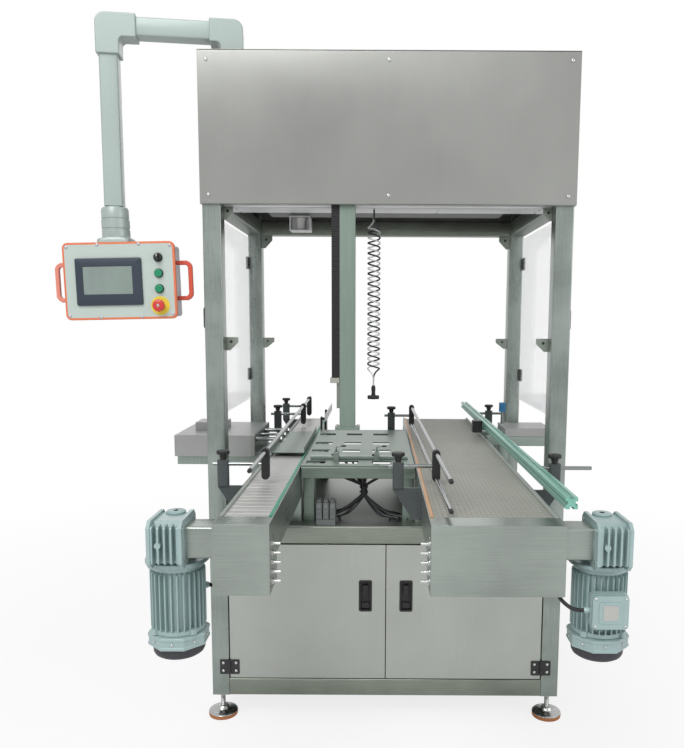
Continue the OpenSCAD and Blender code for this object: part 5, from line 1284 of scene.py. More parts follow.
coupling = loft(
    [rounded(w, d, r, steps=9) + (-18, PANEL_D / 2) for w, d, r, _ in coupling_steps], "Z",
    [z for *_, z in coupling_steps]
)
piece("panel_case_shell", [case_shell], "panel", case_paint, ["panel_case"], tilt=on_panel, smooth=30)
piece("panel_coupling", [coupling], "panel", arm_enamel, ["panel_case"], tilt=on_panel, smooth=30)
piece("panel_front", [face_plate], "panel", face_paint, ["panel_case"], bevel=0.4, tilt=on_panel)
pin_low, pin_high = DROP_END - BUSH_H, DROP_END + BUSH_H
pin_profile = [(0, pin_low), (SWIVEL_R, pin_low), (SWIVEL_R, pin_high - 1), (SWIVEL_R - 1, pin_high), (0, pin_high)]
swivel = lathe(pin_profile, (*SWIVEL_AT, 0), "Z", 32)
piece("panel_swivel_pin", [swivel], "panel", bright_steel, ["panel_case"])
piece("panel_edge_frame", [rim_shape], "panel", rim_orange, ["panel_rim"], tilt=on_panel)
piece("panel_lugs", lug_shapes, "panel", case_paint, ["panel_rim"], tilt=on_panel)
piece("panel_lug_screws", lug_screws, "panel", bright_steel, ["panel_rim"], tilt=on_panel)
bow_outline = np.array(
    [
        (172, 64), (206, 64), (216, 58), (222, 51), (224, 44), (224, -44), (222, -51), (216, -58), (206, -64),
        (172, -64), (172, -50), (203, -50), (208, -46), (210, -41), (210, 41), (208, 46), (203, 50), (172, 50)
    ],
    float
)
bow_shape = prism(bow_outline[:, ::-1], "Y", PANEL_D / 2 - 7, PANEL_D / 2 + 7)
piece(
    "panel_handle_right", [bow_shape], "panel", handle_red_painted_shade, ["panel_handles"], bevel=3.2, tilt=on_panel
)
piece(
    "panel_handle_left", [mirrored(bow_shape)], "panel", handle_pink_painted_light, ["panel_handles"], bevel=3.2,
    tilt=on_panel
)

# The touch screen is a dark moulded frame, proud of the panel, round a sheet of grey glass set a little back. A
# small pale lamp sits in the frame's upper right part.
bezel_blue = finish_of("bezel_blue", (0.022, 0.034, 0.052), 0.40, 0.0, grain=900, blotch=5, spread=0.10, bump=0.10)
# The glass's grey drifts in broad upright bands of lighter and darker tone, a painted reflection.
screen_glass = finish_of(
    "screen_glass", (0.24, 0.30, 0.275), 0.09, 0.0, grain=(14, 14, 4), blotch=7, spread=0.16, bump=0.0, coat=0.4
)
SCREEN_AT, SCREEN_W, SCREEN_H, GLASS_AT, GLASS_W, GLASS_H = (-33, -2.4), 212, 150, (-36, 2), 157, 88


def screen_ring(inset, opening=False):
    """The bezel's outer outline drawn in by inset, or the glass's opening let out by it, as Z and X."""
    if opening:
        return rounded(GLASS_H + 2 * inset, GLASS_W + 2 * inset, 1.5 + inset) + (GLASS_AT[1], GLASS_AT[0])
    return rounded(SCREEN_H - 2 * inset, SCREEN_W - 2 * inset, 6 - inset) + (SCREEN_AT[1], SCREEN_AT[0])


bezel_rings = [
    screen_ring(0), screen_ring(0), screen_ring(0.6), screen_ring(2.2), screen_ring(1.2, True),
    screen_ring(0.2, True), screen_ring(0, True), screen_ring(0, True)
]
bezel = loft(bezel_rings, "Y", [2, -3.2, -4.5, -5, -5, -4.2, -3.4, 2], loop=True)
glass = prism(screen_ring(0, True), "Y", -3.4, 0)
piece("screen_bezel", [bezel], "panel", bezel_blue, ["touch_screen"], tilt=on_panel)
piece("screen_glass_sheet", [glass], "panel", screen_glass, ["touch_screen"], bevel=0.3, tilt=on_panel)
led = lathe([(0, -4.9), (1.6, -4.9), (1.6, -5), (0, -5)], (64, 0, 60), "Y", 16)
piece("screen_light", [led], "panel", plate_bare, ["touch_screen"], tilt=on_panel)

# Beside the screen, from the top: a black turn switch with a white mark, two green push buttons in black rings, and
# a red mushroom button on a plain yellow disc.
CONTROL_X, CONTROL_ZS = 127, (71.6, 22, -27, -81)
green_button = finish_of("green_button", (0.0, 0.24, 0.105), 0.30, 0.0, grain=700, spread=0.08, bump=0.04, coat=0.3)
red_button = finish_of("red_button", (0.62, 0.035, 0.03), 0.38, 0.0, grain=700, spread=0.10, bump=0.06, coat=0.2)
yellow_disc = finish_of("yellow_disc", (0.80, 0.62, 0.05), 0.50, 0.0, grain=700, spread=0.06, bump=0.05)
white_mark = finish_of("white_mark", (0.82, 0.83, 0.82), 0.50, 0.0, grain=700, spread=0.03, bump=0.02)
ring_profile = [(0, 2), (14.5, 2), (14.5, -1.6), (14.2, -2.6), (13.7, -3), (13.1, -2.6), (12.9, 0.9), (0, 0.9)]
rings = [lathe(ring_profile, (CONTROL_X, 0, z), "Y", 40) for z in CONTROL_ZS[:3]]
piece("button_rings", rings, "panel", black_moulding, ["button_collars"], tilt=on_panel)
disc_shape = lathe([(0, 2), (30, 2), (30, 0.6), (29.2, 0), (0, 0)], (CONTROL_X, 0, CONTROL_ZS[3]), "Y", 56)
piece("stop_disc", [disc_shape], "panel", yellow_disc, ["button_collars"], tilt=on_panel)
push_profile = [
    (0, 8), (9.5, 8), (9.5, -3.6), (12.6, -3.8), (12.6, -7.6), (12.0, -8.5), (10.8, -9), (5, -8.7), (0, -8.6)
]
for name, body, z in (("upper_button", "upper_push", CONTROL_ZS[1]), ("lower_button", "lower_push", CONTROL_ZS[2])):
    piece(
        name + "_cap", [lathe(push_profile, (CONTROL_X, 0, z), "Y", 40)], body, green_button, [name],
        tilt=on_panel
    )
turn_profile = [(0, 8), (9.5, 8), (9.5, -3.4), (12.8, -3.6), (12.8, -7.8), (12.0, -8.8), (0, -9)]
grip = prism(rounded(24, 8.5, 4, steps=6) + (CONTROL_ZS[0], CONTROL_X), "Y", -18, -8.5)
piece(
    "turn_switch", [lathe(turn_profile, (CONTROL_X, 0, CONTROL_ZS[0]), "Y", 40), grip], "selector", black_moulding,
    ["selector_knob"], bevel=1.0, tilt=on_panel
)
mark = prism(rounded(9, 1.8, 0.8) + (CONTROL_ZS[0] + 6, CONTROL_X), "Y", -18.3, -17.6)
piece("turn_switch_mark", [mark], "selector", white_mark, ["selector_knob"], tilt=on_panel)
lobes = np.linspace(0, 2 * math.pi, 96, endpoint=False)


def fluted(radius, count, depth):
    """A circle whose radius falls by depth between count rounded lobes: r - depth (1 - cos(count a)) / 2."""
    r = radius - depth * (1 - np.cos(count * lobes)) / 2
    return np.c_[r * np.cos(lobes), r * np.sin(lobes)]


stop_steps = [
    (9.5, 0, 8), (9.5, 0, -6), (12, 0, -12), (17.5, 0.6, -14), (20, 1.6, -16.5), (20, 1.6, -21.5), (18.6, 1.2, -25),
    (15, 0.5, -27.2), (9, 0, -28), (5.5, 0, -28), (5, 0, -27.4)
]
stop_rings = [fluted(r, 12, d) + (CONTROL_ZS[3], CONTROL_X) for r, d, _ in stop_steps]
stop_shape = loft(stop_rings, "Y", [y for *_, y in stop_steps], flip=True)
piece("stop_mushroom", [stop_shape], "stop_push", red_button, ["stop_button"], tilt=on_panel)
stop_dot = lathe([(0, -27), (4.6, -27), (4.6, -27.8), (4, -28), (0, -28)], (CONTROL_X, 0, CONTROL_ZS[3]), "Y", 24)
piece("stop_button_centre", [stop_dot], "stop_push", plate_bare, ["stop_button"], tilt=on_panel)

# Across the hood's underside runs the gantry beam, a grey square tube with screws in its underside, a folded
# cable tray behind and a small round lamp in a box bracket. A dark carriage on the beam carries the lift.
beam_grey = finish_of(
    "beam_grey", (0.72, 0.72, 0.73), 0.45, 0.7, grain=(8, 300, 300), blotch=4, spread=0.15, bump=0.06
)
tray_dark = finish_of(
    "tray_dark", (0.135, 0.14, 0.13), 0.5, 0.6, grain=(8, 300, 300), blotch=4, spread=0.2, bump=0.08
)
carriage_dark = finish_of("carriage_dark", (0.05, 0.053, 0.05), 0.45, 0.4, grain=300, spread=0.2, bump=0.1)
BEAM_Y, BEAM_HIGH, TRAY_X, TRAY_Y, TRAY_Z = (62, 182), 1870, (-420, 408), (182, 330), (1756, 1796)
beam = square_tube("X", (-INSIDE, INSIDE), BEAM_Y, (HOOD_LOW, BEAM_HIGH), corner=7, wall=5)
piece("beam", [beam], "frame", beam_grey, ["gantry_beam"])
beam_screws = [
    button_screw((x, y, HOOD_LOW), "Z", -1, 4.5, 2.0) for x in np.linspace(-504, 504, 4) for y in (84, 160)
]
piece("beam_screws", beam_screws, "frame", bright_steel, ["gantry_beam"])
tray_wall = np.array(
    [
        (TRAY_Y[0], 40), (TRAY_Y[0], 2), (TRAY_Y[0] + 2, 0), (TRAY_Y[1] - 2, 0), (TRAY_Y[1], 2), (TRAY_Y[1], 40),
        (TRAY_Y[1] - 2, 40), (TRAY_Y[1] - 2, 2.5), (TRAY_Y[0] + 2, 2.5), (TRAY_Y[0] + 2, 40)
    ],
    float
) + (0, TRAY_Z[0])
ends = [
    block(x, TRAY_Y, (TRAY_Z[0] + 0.3, TRAY_Z[1]))
    for x in ((TRAY_X[0], TRAY_X[0] + SHEET), (TRAY_X[1] - SHEET, TRAY_X[1]))
]
piece("cable_tray", [prism(tray_wall, "X", *TRAY_X)] + ends, "frame", tray_dark, ["gantry_beam"])
LAMP_X = -315
bracket_out, bracket_in = (rounded(w, h, c) + (1729.5, LAMP_X) for w, h, c in ((53, 76, 3), (45, 68, 1)))
lamp_box = [pipe(bracket_out, bracket_in, "Y", 290, 346), prism(bracket_out, "Y", 346, 350)]
piece("lamp_bracket", lamp_box, "frame", beam_grey, ["ceiling_lamp"], bevel=0.4)
lamp_cup = [
    (0, 1708), (14, 1708), (14.6, 1710.5), (16.2, 1710.5), (17, 1709), (18, 1710), (18, 1750), (16, 1752), (0, 1752)
]
lamp_lens = finish_of("lamp_lens", (0.80, 0.80, 0.78), 0.25, 0.0, grain=500, spread=0.03, bump=0.1)
piece(
    "lamp_body", [lathe(lamp_cup, (LAMP_X, 320, 0), "Z", 32)], "frame", lamp_lens, ["ceiling_lamp"]
)
COLUMN_X, DUCT_X, COLUMN_Y = (-158, -106), (-184, -158), (4, 50)
car_z, slot = (1765, 1860), ((-184.3, -105.7), (3.7, 50.3))
car_out = rounded(110, 65.7, 5) + (-145, 28.85)
car_in = rounded(slot[0][1] - slot[0][0], slot[1][1] - slot[1][0], 0.8) + (-145, 27)
car_shapes = [
    pipe(car_out, car_in, "Z", *car_z), block((-198, -92), (50.5, 61.7), (1860, 1870.3)),
    block((-198, -92), (50.5, 101.7), (1870.3, 1880.3))
]
piece("carriage_sleeve", car_shapes, "carriage", carriage_dark, ["gantry_carriage"], bevel=1.2)
car_bolts = [button_screw((x, -4, z), "Y", -1, 4, 2.2) for x in (-192, -98) for z in (1780, 1812, 1846)]
piece("carriage_bolts", car_bolts, "carriage", bright_steel, ["gantry_carriage"])

# The lift column is a green-enamelled square tube with a bolted foot plate. Beside it run the black toothed belt in
# its clamp and a narrow steel rail.
column_green = finish_of(
    "column_green", (0.20, 0.26, 0.22), 0.40, 0.3, grain=(300, 300, 8), blotch=3, spread=0.12, bump=0.06, fine=0.4,
    coat=0.2
)
COLUMN_LOW, COLUMN_LEN = 1028, 862
column = square_tube("Z", COLUMN_X, COLUMN_Y, (COLUMN_LOW, COLUMN_LOW + COLUMN_LEN), corner=3.5, wall=4)
foot = prism(rounded(82, 52, 4) + (-132, 27), "Z", COLUMN_LOW - 10, COLUMN_LOW)
piece("column", [column, foot], "lift", column_green, ["lift_column"], bevel=0.6)
foot_bolts = [
    prism(hexagon(5.2, 0.2) + (x, y), "Z", COLUMN_LOW, COLUMN_LOW + 3.5) for x in (-168, -96) for y in (11, 43)
]
piece("column_foot_bolts", foot_bolts, "lift", bright_steel, ["lift_column"], bevel=0.4)
belt_body = block(DUCT_X, (11.2, 45), (1192, 1890))
teeth = prism(np.array([(11.3, -2.5), (9, -1.6), (9, 1.6), (11.3, 2.5)]), "X", DUCT_X[0] + 1, DUCT_X[1] - 1)
teeth = repeated(teeth, [(0, 0, z) for z in np.arange(1198, 1888, 8)])
piece("lift_belt_strip", [belt_body, teeth], "lift", black_rubber, ["lift_belt"])
clamp_pale = finish_of("clamp_pale", (0.36, 0.37, 0.32), 0.45, 0.2, grain=300, spread=0.1, bump=0.08)
rail_grey = finish_of("rail_grey", (0.22, 0.24, 0.21), 0.4, 0.6, grain=(300, 300, 10), spread=0.15, bump=0.06)
piece(
    "belt_clamp", [prism(rounded(31, 46, 3) + (-173.5, 27), "Z", 1175, 1192)], "lift", clamp_pale,
    ["lift_belt"], bevel=0.8
)
rail_outline = np.array(
    [(-168, 14), (-158, 14), (-158, 40), (-168, 40), (-168, 31), (-165, 29), (-165, 25), (-168, 23)], float
)
piece(
    "side_rail_strip", [prism(rail_outline, "Z", 1090, 1175)], "lift", rail_grey, ["lift_belt"],
    bevel=0.4
)

# Under the belts and the platform stand square legs on the deck. More square tube, level and upright, carries the
# pusher on the left and the stop on the right.
leg_metal = finish_of(
    "leg_metal", (0.29, 0.34, 0.31), 0.38, 0.85, grain=(300, 300, 9), blotch=5, spread=0.2, bump=0.08
)
# The platform's polished steel is given a dark green base colour, a painted dark reflection of its surroundings.
platform_steel_painted_dark = finish_of(
    "platform_steel_painted_dark", (0.17, 0.215, 0.185), 0.36, 0.8, grain=(9, 300, 300), blotch=6, spread=0.2, bump=0.08, fine=0.4
)
deck_top, leg = 690, 40
leg_shapes = [
    square_tube("Z", (x, x + leg), y, (deck_top, SIDE_LOW))
    for y in ((60, 100), (800, 840)) for x in (NARROW_LOW, NARROW_HIGH - leg, WIDE_LOW, WIDE_HIGH - leg)
]
for y in ((480, 520), (758, 798)):
    leg_shapes += [
        square_tube("X", (-832, NARROW_LOW), y, (806, 846)), square_tube("Z", (-520, -480), y, (deck_top, 806))
    ]
for y in ((640, 680), (794, 834)):
    leg_shapes += [
        square_tube("X", (WIDE_HIGH, 700), y, (860, 900)), square_tube("Z", (480, 520), y, (deck_top, 860))
    ]
piece("legs", leg_shapes, "frame", leg_metal, ["support_legs"])
PLAT_X, PLAT_LOW, PLATE_LOW = (-286, 95), 853, 893
frame_shapes = [square_tube("X", PLAT_X, y, (PLAT_LOW, PLATE_LOW)) for y in ((0, 40), (788, 828))]
for x in ((-286, -246), (55, 95)):
    frame_shapes.append(square_tube("Y", x, (40, 788), (PLAT_LOW, PLATE_LOW)))
    frame_shapes += [square_tube("Z", x, y, (deck_top, PLAT_LOW)) for y in ((62, 102), (748, 788))]
piece("platform_tubes", frame_shapes, "frame", platform_steel_painted_dark, ["platform_frame"])
plate_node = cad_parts["platform_plate"]
plate_node.data.materials.clear()
plate_node.data.materials.append(platform_steel_painted_dark)

# On the plate a flat cross bar is held down by two lever clamps. Each has a bent handle with a black sleeve,
# and a rubber tip beside it on the bar.
bar = prism(rounded(20, 12, 2) + (126, 904), "X", -266, 75)
clamp_shapes, clamp_black = [bar], []
for x in (-175, -33):
    clamp_shapes += [block((x - 9, x + 9), (98, 116), (898, 926)), block((x - 9, x + 9), (116, 136), (910, 926))]
    clamp_shapes += [block((x - 6.5, x - 4), (101, 133), (926, 931)), block((x + 4, x + 6.5), (101, 133), (926, 931))]
    lever_path = np.array(
        [
            (x, 118, 926), (x, 117, 934), (x + 1, 116, 941), (x + 6, 116, 944.6), (x + 14, 116, 944.9),
            (x + 34, 116, 944.9)
        ]
    )
    clamp_shapes.append(tube(lever_path, 2.6, sides=12))
    clamp_black.append(
        tube(
            np.array([(x + 17, 116, 944.9), (x + 19, 116, 944.9), (x + 33, 116, 944.9), (x + 34, 116, 944.9)]),
            (1.5, 3, 3, 1.5), sides=12
        )
    )
    clamp_black.append(lathe([(0, 910), (5, 910), (5, 914), (3, 915), (0, 915)], (x - 13, 126, 0), "Z", 16))
piece("clamp_bar", clamp_shapes, "frame", leg_metal, ["platform_clamps"], bevel=0.5)
piece("clamp_tips", clamp_black, "frame", black_rubber, ["platform_clamps"])

# Three dark valves stand on a manifold on the deck. A bundle of black cables comes down through two ties under the
# platform and spreads to the deck. Each motor's cable leaves its gland and runs back under its conveyor.
valve_dark = finish_of("valve_dark", (0.13, 0.145, 0.14), 0.42, 0.2, grain=400, spread=0.25, bump=0.1)
steel_dark = finish_of("steel_dark", (0.20, 0.21, 0.21), 0.35, 0.9, grain=300, spread=0.2, bump=0.08)
valve_shapes, valve_pale = [prism(rounded(66, 54, 2) + (-205, 31), "Z", 690, 710)], []
for x in (-228, -205, -182):
    valve_shapes.append(prism(rounded(20, 48, 2.5) + (x, 31), "Z", 710, 768))
    valve_shapes.append(prism(rounded(14, 38, 2.5) + (x, 31), "Z", 768, 776))
    valve_pale += [lathe([(0, 7), (4, 7), (4, 4.4), (3, 4), (0, 4)], (x, 0, z), "Y", 16) for z in (722, 740)]
    valve_pale.append(prism(rounded(12, 9, 1) + (757, x), "Y", 6.4, 7.1))
piece("valves", valve_shapes, "frame", valve_dark, ["valve_block"], bevel=0.7)
piece("valve_ports", valve_pale, "frame", steel_dark, ["valve_block"])


def smooth_route(control, steps=8):
    """A Catmull-Rom curve through control points, all stretches at once: b + u (d - a) / 2 + u^2 (a - 2.5 b + 2 d -
    e / 2) + u^3 (1.5 (b - d) + (e - a) / 2), with straight leads at both ends."""
    c = np.asarray(control, float)
    p = np.vstack([c[:1], c, c[-1:]])
    a, b, d, e = (p[i : i + len(c) - 1, None] for i in range(4))
    u = np.linspace(0, 1, steps, endpoint=False)[None, :, None]
    q = (
        b + u * (d - a) / 2 + u**2 * (a - 2.5 * b + 2 * d - e / 2) + u**3 * (1.5 * (b - d) + (e - a) / 2)
    ).reshape(-1, 3)
    return np.vstack([c[:1], c[0] + 0.1 * (c[1] - c[0]), q[1:], c[-1] + 0.1 * (c[-2] - c[-1]), c[-1:]])


TIE = (-78, 104, 790)
bundle = []
for n, (top, foot) in enumerate(
    [
        ((-150, 200), (40, 60)), ((-60, 200), (-230, 72)), ((-200, 200), (28, 100)), ((40, 180), (-232, 114)),
        ((-90, 380), (-215, 150)), ((-118, 150), (58, 82)), ((-98, 140), (12, 74)), ((-82, 136), (-236, 92)),
        ((-66, 140), (46, 120)), ((-50, 150), (-190, 66)), ((-230, 150), (70, 66)), ((20, 140), (-160, 80)),
    ]
):
    a = 2.4 * n
    ring = np.array([9 * math.cos(a), 9 * math.sin(a), 0]) * (1 if n % 2 else 0.45)
    t, f, tie = np.array([*top, PLAT_LOW]), np.array([*foot, deck_top]), np.array(TIE) + ring
    high = np.array([*top, PLATE_LOW if n < 5 else PLATE_LOW - 0.5])
    bundle.append(
        smooth_route(
            [
                high, high - (0, 0, 12), t * 0.55 + tie * 0.45 + (0, 0, 12), tie + (0, 0, 14), tie - (0, 0, 16),
                tie * 0.45 + f * 0.55 - (0, 0, 24 - 4 * (n % 3)), f + (0, 0, 13), f
            ]
        )
    )
motor_routes = [
    [(481, -684, 672), (470, -684, 672), (446, -684, 680), (420, -670, 706), (410, -600, 748), (408, -500, 764),
     (400, -300, 766), (380, -80, 756), (362, 30, 730), (360, 80, 702), (360, 80, 690)],
    [(-481, -516, 672), (-470, -516, 672), (-440, -500, 700), (-410, -420, 750), (-384, -300, 764),
     (-366, -80, 756), (-361, 30, 730), (-361, 80, 702), (-361, 80, 690)],
]
lines = [tube(p, 3.6 if n > 4 else 4.6, sides=10) for n, p in enumerate(bundle)]
lines += [tube(smooth_route(r), 5, sides=12) for r in motor_routes]
ties = [
    lathe([(0, z), (14.5, z), (15, z + 1), (15, z + 4), (14.5, z + 5), (0, z + 5)], (TIE[0], TIE[1], 0), "Z", 24)
    for z in (783, 800)
]
piece("cable_runs", lines + ties, "frame", black_rubber, ["cables"])

# The bottle pusher on the left is a folded white-grey cover with a raised box for its drive, an end plate, an air
# cylinder and two guide rods that carry a channel-shaped head. A low cover stands opposite as its stop.
cover_grey = finish_of(
    "cover_grey", (0.36, 0.365, 0.36), 0.40, 0.25, grain=300, blotch=3, spread=0.06, bump=0.05, coat=0.15
)
rod_chrome = finish_of("rod_chrome", (0.30, 0.32, 0.32), 0.14, 1.0, grain=300, spread=0.08, bump=0.02)


def lid(x, y, z, open_x=False):
    """A folded sheet cover between two values on each axis, open below: its top and walls are 2 mm thick."""
    shapes = [block(x, y, (z[1] - SHEET, z[1])), block((x[0], x[0] + SHEET), y, (z[0], z[1] - SHEET))]
    inner = (x[0] + SHEET, x[1] if open_x else x[1] - SHEET)
    shapes += [block(inner, b, (z[0], z[1] - SHEET)) for b in ((y[0], y[0] + SHEET), (y[1] - SHEET, y[1]))]
    return shapes if open_x else shapes + [block((x[1] - SHEET, x[1]), y, (z[0], z[1] - SHEET))]


covers = lid(
    (-832, -528), (440, 838), (846, 930), True
) + lid((-783, -660), (586, 706), (930, 962)) + lid((505, 700), (640, 834), (900, 935))
piece("pusher_cover_sheets", covers, "frame", cover_grey, ["pusher_covers"], bevel=1.2)
PUSH_Z, PUSH_YS, PLATE_X = 912, (475, 595, 715), (-528, -516)
rod_plate = prism(rounded(398, 84, 3) + (639, 888), "X", *PLATE_X)
cylinder = [
    (0, -830), (14, -830), (14, -812), (12.8, -811), (12.8, -546), (14, -545), (14, PLATE_X[0]), (0, PLATE_X[0])
]
collars = [
    round_bar(r, PLATE_X[1], PLATE_X[1] + 0.3, (0, y, PUSH_Z), sides=24) for y, r in zip(PUSH_YS, (12, 10, 12))
]
piece(
    "pusher_end_plate", [rod_plate, lathe(cylinder, (0, PUSH_YS[1], PUSH_Z), "X", 32)] + collars, "frame",
    sheet_metal, ["pusher_cylinder"], bevel=0.6
)
rods = [
    lathe([(0, -728), (r - 1, -728), (r, -727), (r, -421), (0, -421)], (0, y, PUSH_Z), "X", 24) for y,
    r in zip(PUSH_YS, (8, 6, 8))
]
piece("pusher_rods", rods, "pusher", rod_chrome, ["pusher_slide"])
head = np.array(
    [
        (-421, 924), (-421, 901), (-420, 900), (-297, 900), (-296, 901), (-296, 924), (-299, 924), (-299, 903),
        (-418, 903), (-418, 924)
    ],
    float
)
piece(
    "pusher_head", [prism(head[:, ::-1], "Y", 220, 740)], "pusher", platform_steel_painted_dark, ["pusher_slide"],
    bevel=0.5
)
nuts = [prism(hexagon(r, 0.2) + (y, PUSH_Z), "X", -418, -412) for y, r in zip(PUSH_YS, (9, 8, 9))]
piece("pusher_nuts", nuts, "pusher", bright_steel, ["pusher_slide"], bevel=0.4)

# Seven cast brackets on the conveyors' sides hold the guides' cross rods. A fluted black star knob on top of each
# one clamps its rod.
bracket_grey = finish_of("bracket_grey", (0.062, 0.072, 0.075), 0.44, 0.15, grain=350, spread=0.2, bump=0.25)
OUT, ROD_Z, POST_HIGH, ROD_R = 68, 947, 960, 6
left_ys, centre_ys, right_ys = (-230, 1000, 1320), (-250, 960), (-270, 1060)
places = [
    (NARROW_LOW, -1, y) for y in left_ys
] + [(WIDE_LOW, -1, y) for y in centre_ys] + [(WIDE_HIGH, 1, y) for y in right_ys]
web = np.array([(0, 782), (24, 782), (84.5, 876), (84.5, 880), (51.5, 880), (0, 880)], float)
bracket_shapes, knob_shapes = [], []
for x, way, y in places:
    flat, mid = web * (way, 1) + (x, 0), x + way * OUT
    post = rounded(33, 24, 4) + (mid, y)
    bracket_shapes += [prism(flat[:, ::-1], "Y", y - 4, y + 4), prism(post, "Z", 880, POST_HIGH)]
    bracket_shapes.append(prism(rounded(22, 90, 2) + (y, 830), "X", *sorted((x, x + way * 6))))
    bracket_shapes.append(round_bar(4, y - 12.8, y - 12, (mid, 0, 925), "Y", 16))
    steps = [
        (15.5, 0, 976), (18.5, 1.4, 977), (20, 2.4, 979), (20, 2.4, 986), (18.6, 1.8, 988.4), (14, 0.6, 989),
        (6, 0, 989)
    ]
    knob_shapes.append(loft([fluted(r, 10, d) + (mid, y) for r, d, _ in steps], "Z", [z for *_, z in steps]))
    collar = [(0, POST_HIGH), (9, POST_HIGH), (9, 966), (11, 967), (11, 975), (10, 976), (0, 976)]
    knob_shapes.append(lathe(collar, (mid, y, 0), "Z", 28))
piece("bracket_castings", bracket_shapes, "frame", bracket_grey, ["guide_brackets"], bevel=0.8)
piece("star_knobs", knob_shapes, "frame", black_moulding, ["bracket_knobs"])

# The left guide is one bright tube, the centre guide two, on black clamps at the ends of cross rods, with black end
# caps. The right guide is a mint-painted slotted profile with a black stop block on its inner side.
mint = finish_of(
    "mint", (0.20, 0.47, 0.38), 0.36, 0.2, grain=(300, 8, 300), blotch=4, spread=0.08, bump=0.05, coat=0.2
)


def guide(line, z):
    """A straight guide tube between two plan points at one height, and the cap at each of its ends."""
    a, b = np.array([*line[0], z], float), np.array([*line[1], z], float)
    d = (b - a) / np.linalg.norm(b - a)
    caps = [
        tube(np.array([p, p + s * d * 3, p + s * d * 16]), (4.5, 6.3, 6.3), sides=18) for p, s in ((a, 1), (b, -1))
    ]
    return tube(np.array([a + 2 * d, b - 2 * d]), ROD_R, sides=20), caps


def guide_at(line, y):
    """The guide's place across at a point along it."""
    (x0, y0), (x1, y1) = line
    return x0 + (x1 - x0) * (y - y0) / (y1 - y0)


clamp_angle = np.linspace(-math.pi / 2, math.pi / 2, 10)
clamp_outline = np.vstack(
    [
        np.c_[985 + 12 * np.cos(clamp_angle), 12 * np.sin(clamp_angle)],
        np.c_[912 - 12 * np.cos(clamp_angle), -12 * np.sin(clamp_angle)]
    ]
)
LEFT_LINE, CENTRE_LINE, CENTRE_LOW = (
    (-368, -529), (-382, 1400)
), ((153, -650), (125, 1012)), ((153, -662), (125, 985))
for body, line, ys, face, tubes in (
    ("left_rail", LEFT_LINE, left_ys, NARROW_LOW, [(LEFT_LINE, 985)]),
    ("centre_rail", CENTRE_LINE, centre_ys, WIDE_LOW, [(CENTRE_LINE, 985), (CENTRE_LOW, 912)]),
):
    node = body.replace("rail", "guide")
    bright = [guide(*t)[0] for t in tubes]
    dark = [cap for t in tubes for cap in guide(*t)[1]]
    for y in ys:
        x = guide_at(line, y)
        bright.append(
            lathe(
                [(0, face - 100), (5, face - 100), (ROD_R, face - 99), (ROD_R, x - 0.3), (0, x - 0.3)], (0, y, ROD_Z),
                "X", 20
            )
        )
        dark.append(prism(clamp_outline + (0, x), "Y", y - 10, y + 10))
    piece(node + "_tubes", bright, body, rod_chrome, [node])
    piece(node + "_clamps", dark, body, black_moulding, [node], bevel=0.8)
quarter_slot = np.array(
    [
        (15, -13), (15, -4), (13.2, -4), (13.2, -7.6), (9.5, -4), (9.5, 4), (13.2, 7.6), (13.2, 4), (15, 4), (15, 13),
        (14.4, 14.4)
    ]
)
section = np.vstack(
    [
        quarter_slot @ np.array([(math.cos(a), math.sin(a)), (-math.sin(a), math.cos(a))])
        for a in np.arange(4) * math.pi / 2
    ]
)
(rx0, ry0), (rx1, ry1) = RIGHT_LINE = ((437, -704), (424, 1436))
heading = math.atan2(ry1 - ry0, rx1 - rx0) - math.pi / 2
length = math.hypot(rx1 - rx0, ry1 - ry0)
profile = turned(prism(section, "Y", 0, length), math.degrees(heading))
piece("slotted_profile", [moved(profile, (rx0, ry0, ROD_Z))], "right_rail", mint, ["right_guide"])
face_rods = []
for y in right_ys:
    x0 = guide_at(RIGHT_LINE, y) + 15.3
    face_rods.append(lathe([(0, x0), (ROD_R, x0), (ROD_R, 607), (5, 608), (0, 608)], (0, y, ROD_Z), "X", 20))
piece("right_guide_rods", face_rods, "right_rail", rod_chrome, ["right_guide"])
bx = guide_at(RIGHT_LINE, 690) - 15.3
stop = [block((bx - 40, bx), (670, 710), (912, 962)), block((bx - 34, bx - 6), (669, 671), (924, 950))]
piece("stop_block", stop, "right_rail", black_moulding, ["right_guide"], bevel=1.6)

# Behind the platform a white plastic strip, flared at its front end, guides bottles along the narrow belt. It stands
# on two flat black posts. A blue sensor sits on a round post over the stop's cover.
guide_white = finish_of("guide_white", (0.74, 0.75, 0.74), 0.45, 0.0, grain=(300, 12, 300), spread=0.04, bump=0.05)
strip_y = np.linspace(868, 1297, 40)
flare = 5.0 * np.clip((930 - strip_y) / 62, 0, 1) ** 2
strip_cut = rounded(34, 5, 2.2) + (ROD_Z, 0)
LANE_MIDDLE = -267
strip_rings = strip_cut[None] + np.stack([np.zeros(40), LANE_MIDDLE + 1.5 - flare * 0.5], -1)[:, None]
piece("lane_strip", [loft(strip_rings, "Y", strip_y)], "frame", guide_white, ["lane_guide"])
lane_posts = []
for y in (900, 1180):
    lane_posts += [
        prism(rounded(24, 8, 2)[:, ::-1] + (-287, y), "Z", SIDE_LOW + 2, ROD_Z),
        round_bar(6, -283, -268, (0, y, ROD_Z - 8.5))
    ]
    lane_posts.append(round_bar(8, -270, -264.6, (0, y, ROD_Z - 8.5)))
piece("lane_posts", lane_posts, "frame", black_moulding, ["lane_guide"], bevel=0.5)
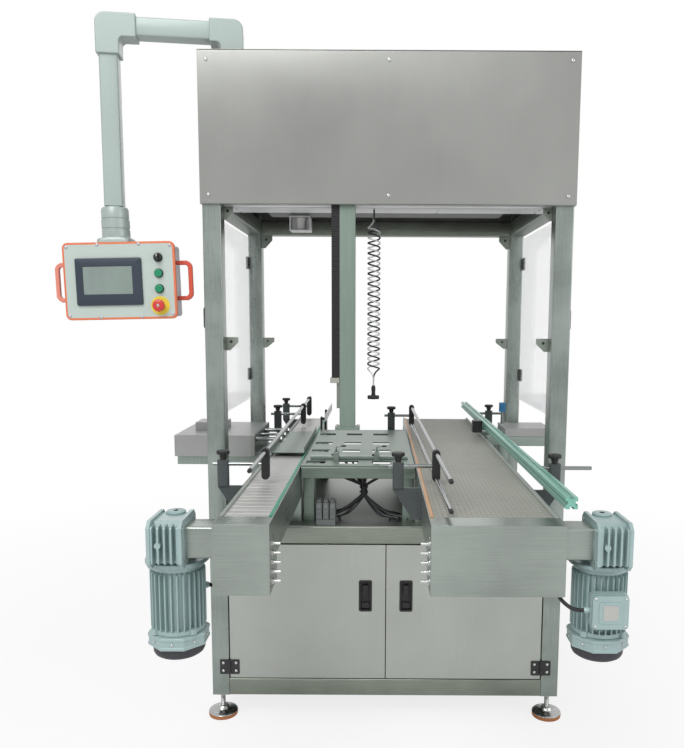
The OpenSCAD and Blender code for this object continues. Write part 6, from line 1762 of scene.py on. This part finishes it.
sensor_blue = finish_of("sensor_blue", (0.02, 0.17, 0.36), 0.38, 0.0, grain=700, spread=0.1, bump=0.06)
SENSOR_AT = (518, 800)
sensor_body = [
    prism(rounded(26, 26, 3) + SENSOR_AT, "Z", 987, 1027), prism(rounded(20, 14, 3) + (1008, 518), "Y", 785, 788)
]
piece("sensor_body", sensor_body, "frame", sensor_blue, ["side_sensor"], bevel=0.8)
sensor_post = [lathe([(0, 935), (10, 935), (10, 938), (6, 939), (6, 987), (0, 987)], (*SENSOR_AT, 0), "Z", 24)]
piece("sensor_post", sensor_post, "frame", rod_chrome, ["side_sensor"])

# Each belt turns on two shafts with toothed sprockets, two on each of the narrow belt's shafts and three on each of
# the wide belt's. The teeth are smooth steps in the wheel's radius.
tooth_turn = np.linspace(0, 2 * math.pi, 72, endpoint=False)


def sprocket(x, y):
    """A wheel 20 mm thick with 18 rounded teeth: r = 37.4 + 2 tanh(2 sin(18 a))."""
    r = 37.4 + 2 * np.tanh(2 * np.sin(18 * tooth_turn))
    return prism(np.c_[r * np.cos(tooth_turn), r * np.sin(tooth_turn)] + (y, SHAFT_Z), "X", x - 10, x + 10)


for side, band, x0, x1, count in (
    ("left", CHAIN_X, NARROW_LOW, NARROW_HIGH, 2), ("right", BELT_X, WIDE_LOW, WIDE_HIGH, 3),
):
    at = [band[0] + (n + 0.5) * (band[1] - band[0]) / count for n in range(count)]
    far = -GEAR_X - 45 if side == "left" else GEAR_X + 45
    for kind, y, ends in (
        ("drive", DRIVE_Y, (far, x1 + 2) if side == "left" else (x0 - 2, far)), ("idler", IDLER_Y, (x0 - 2, x1 + 2))
    ):
        shaft = [
            (0, ends[0]), (11.5, ends[0]), (12.5, ends[0] + 1), (12.5, ends[1] - 1), (11.5, ends[1]), (0, ends[1])
        ]
        shapes = [lathe(shaft, (0, y, SHAFT_Z), "X", 32)] + [sprocket(x, y) for x in at]
        piece(
            f"{side}_{kind}_shaft_turned", shapes, f"{side}_{kind}", steel_dark,
            [f"{side}_{kind}_shaft"]
        )
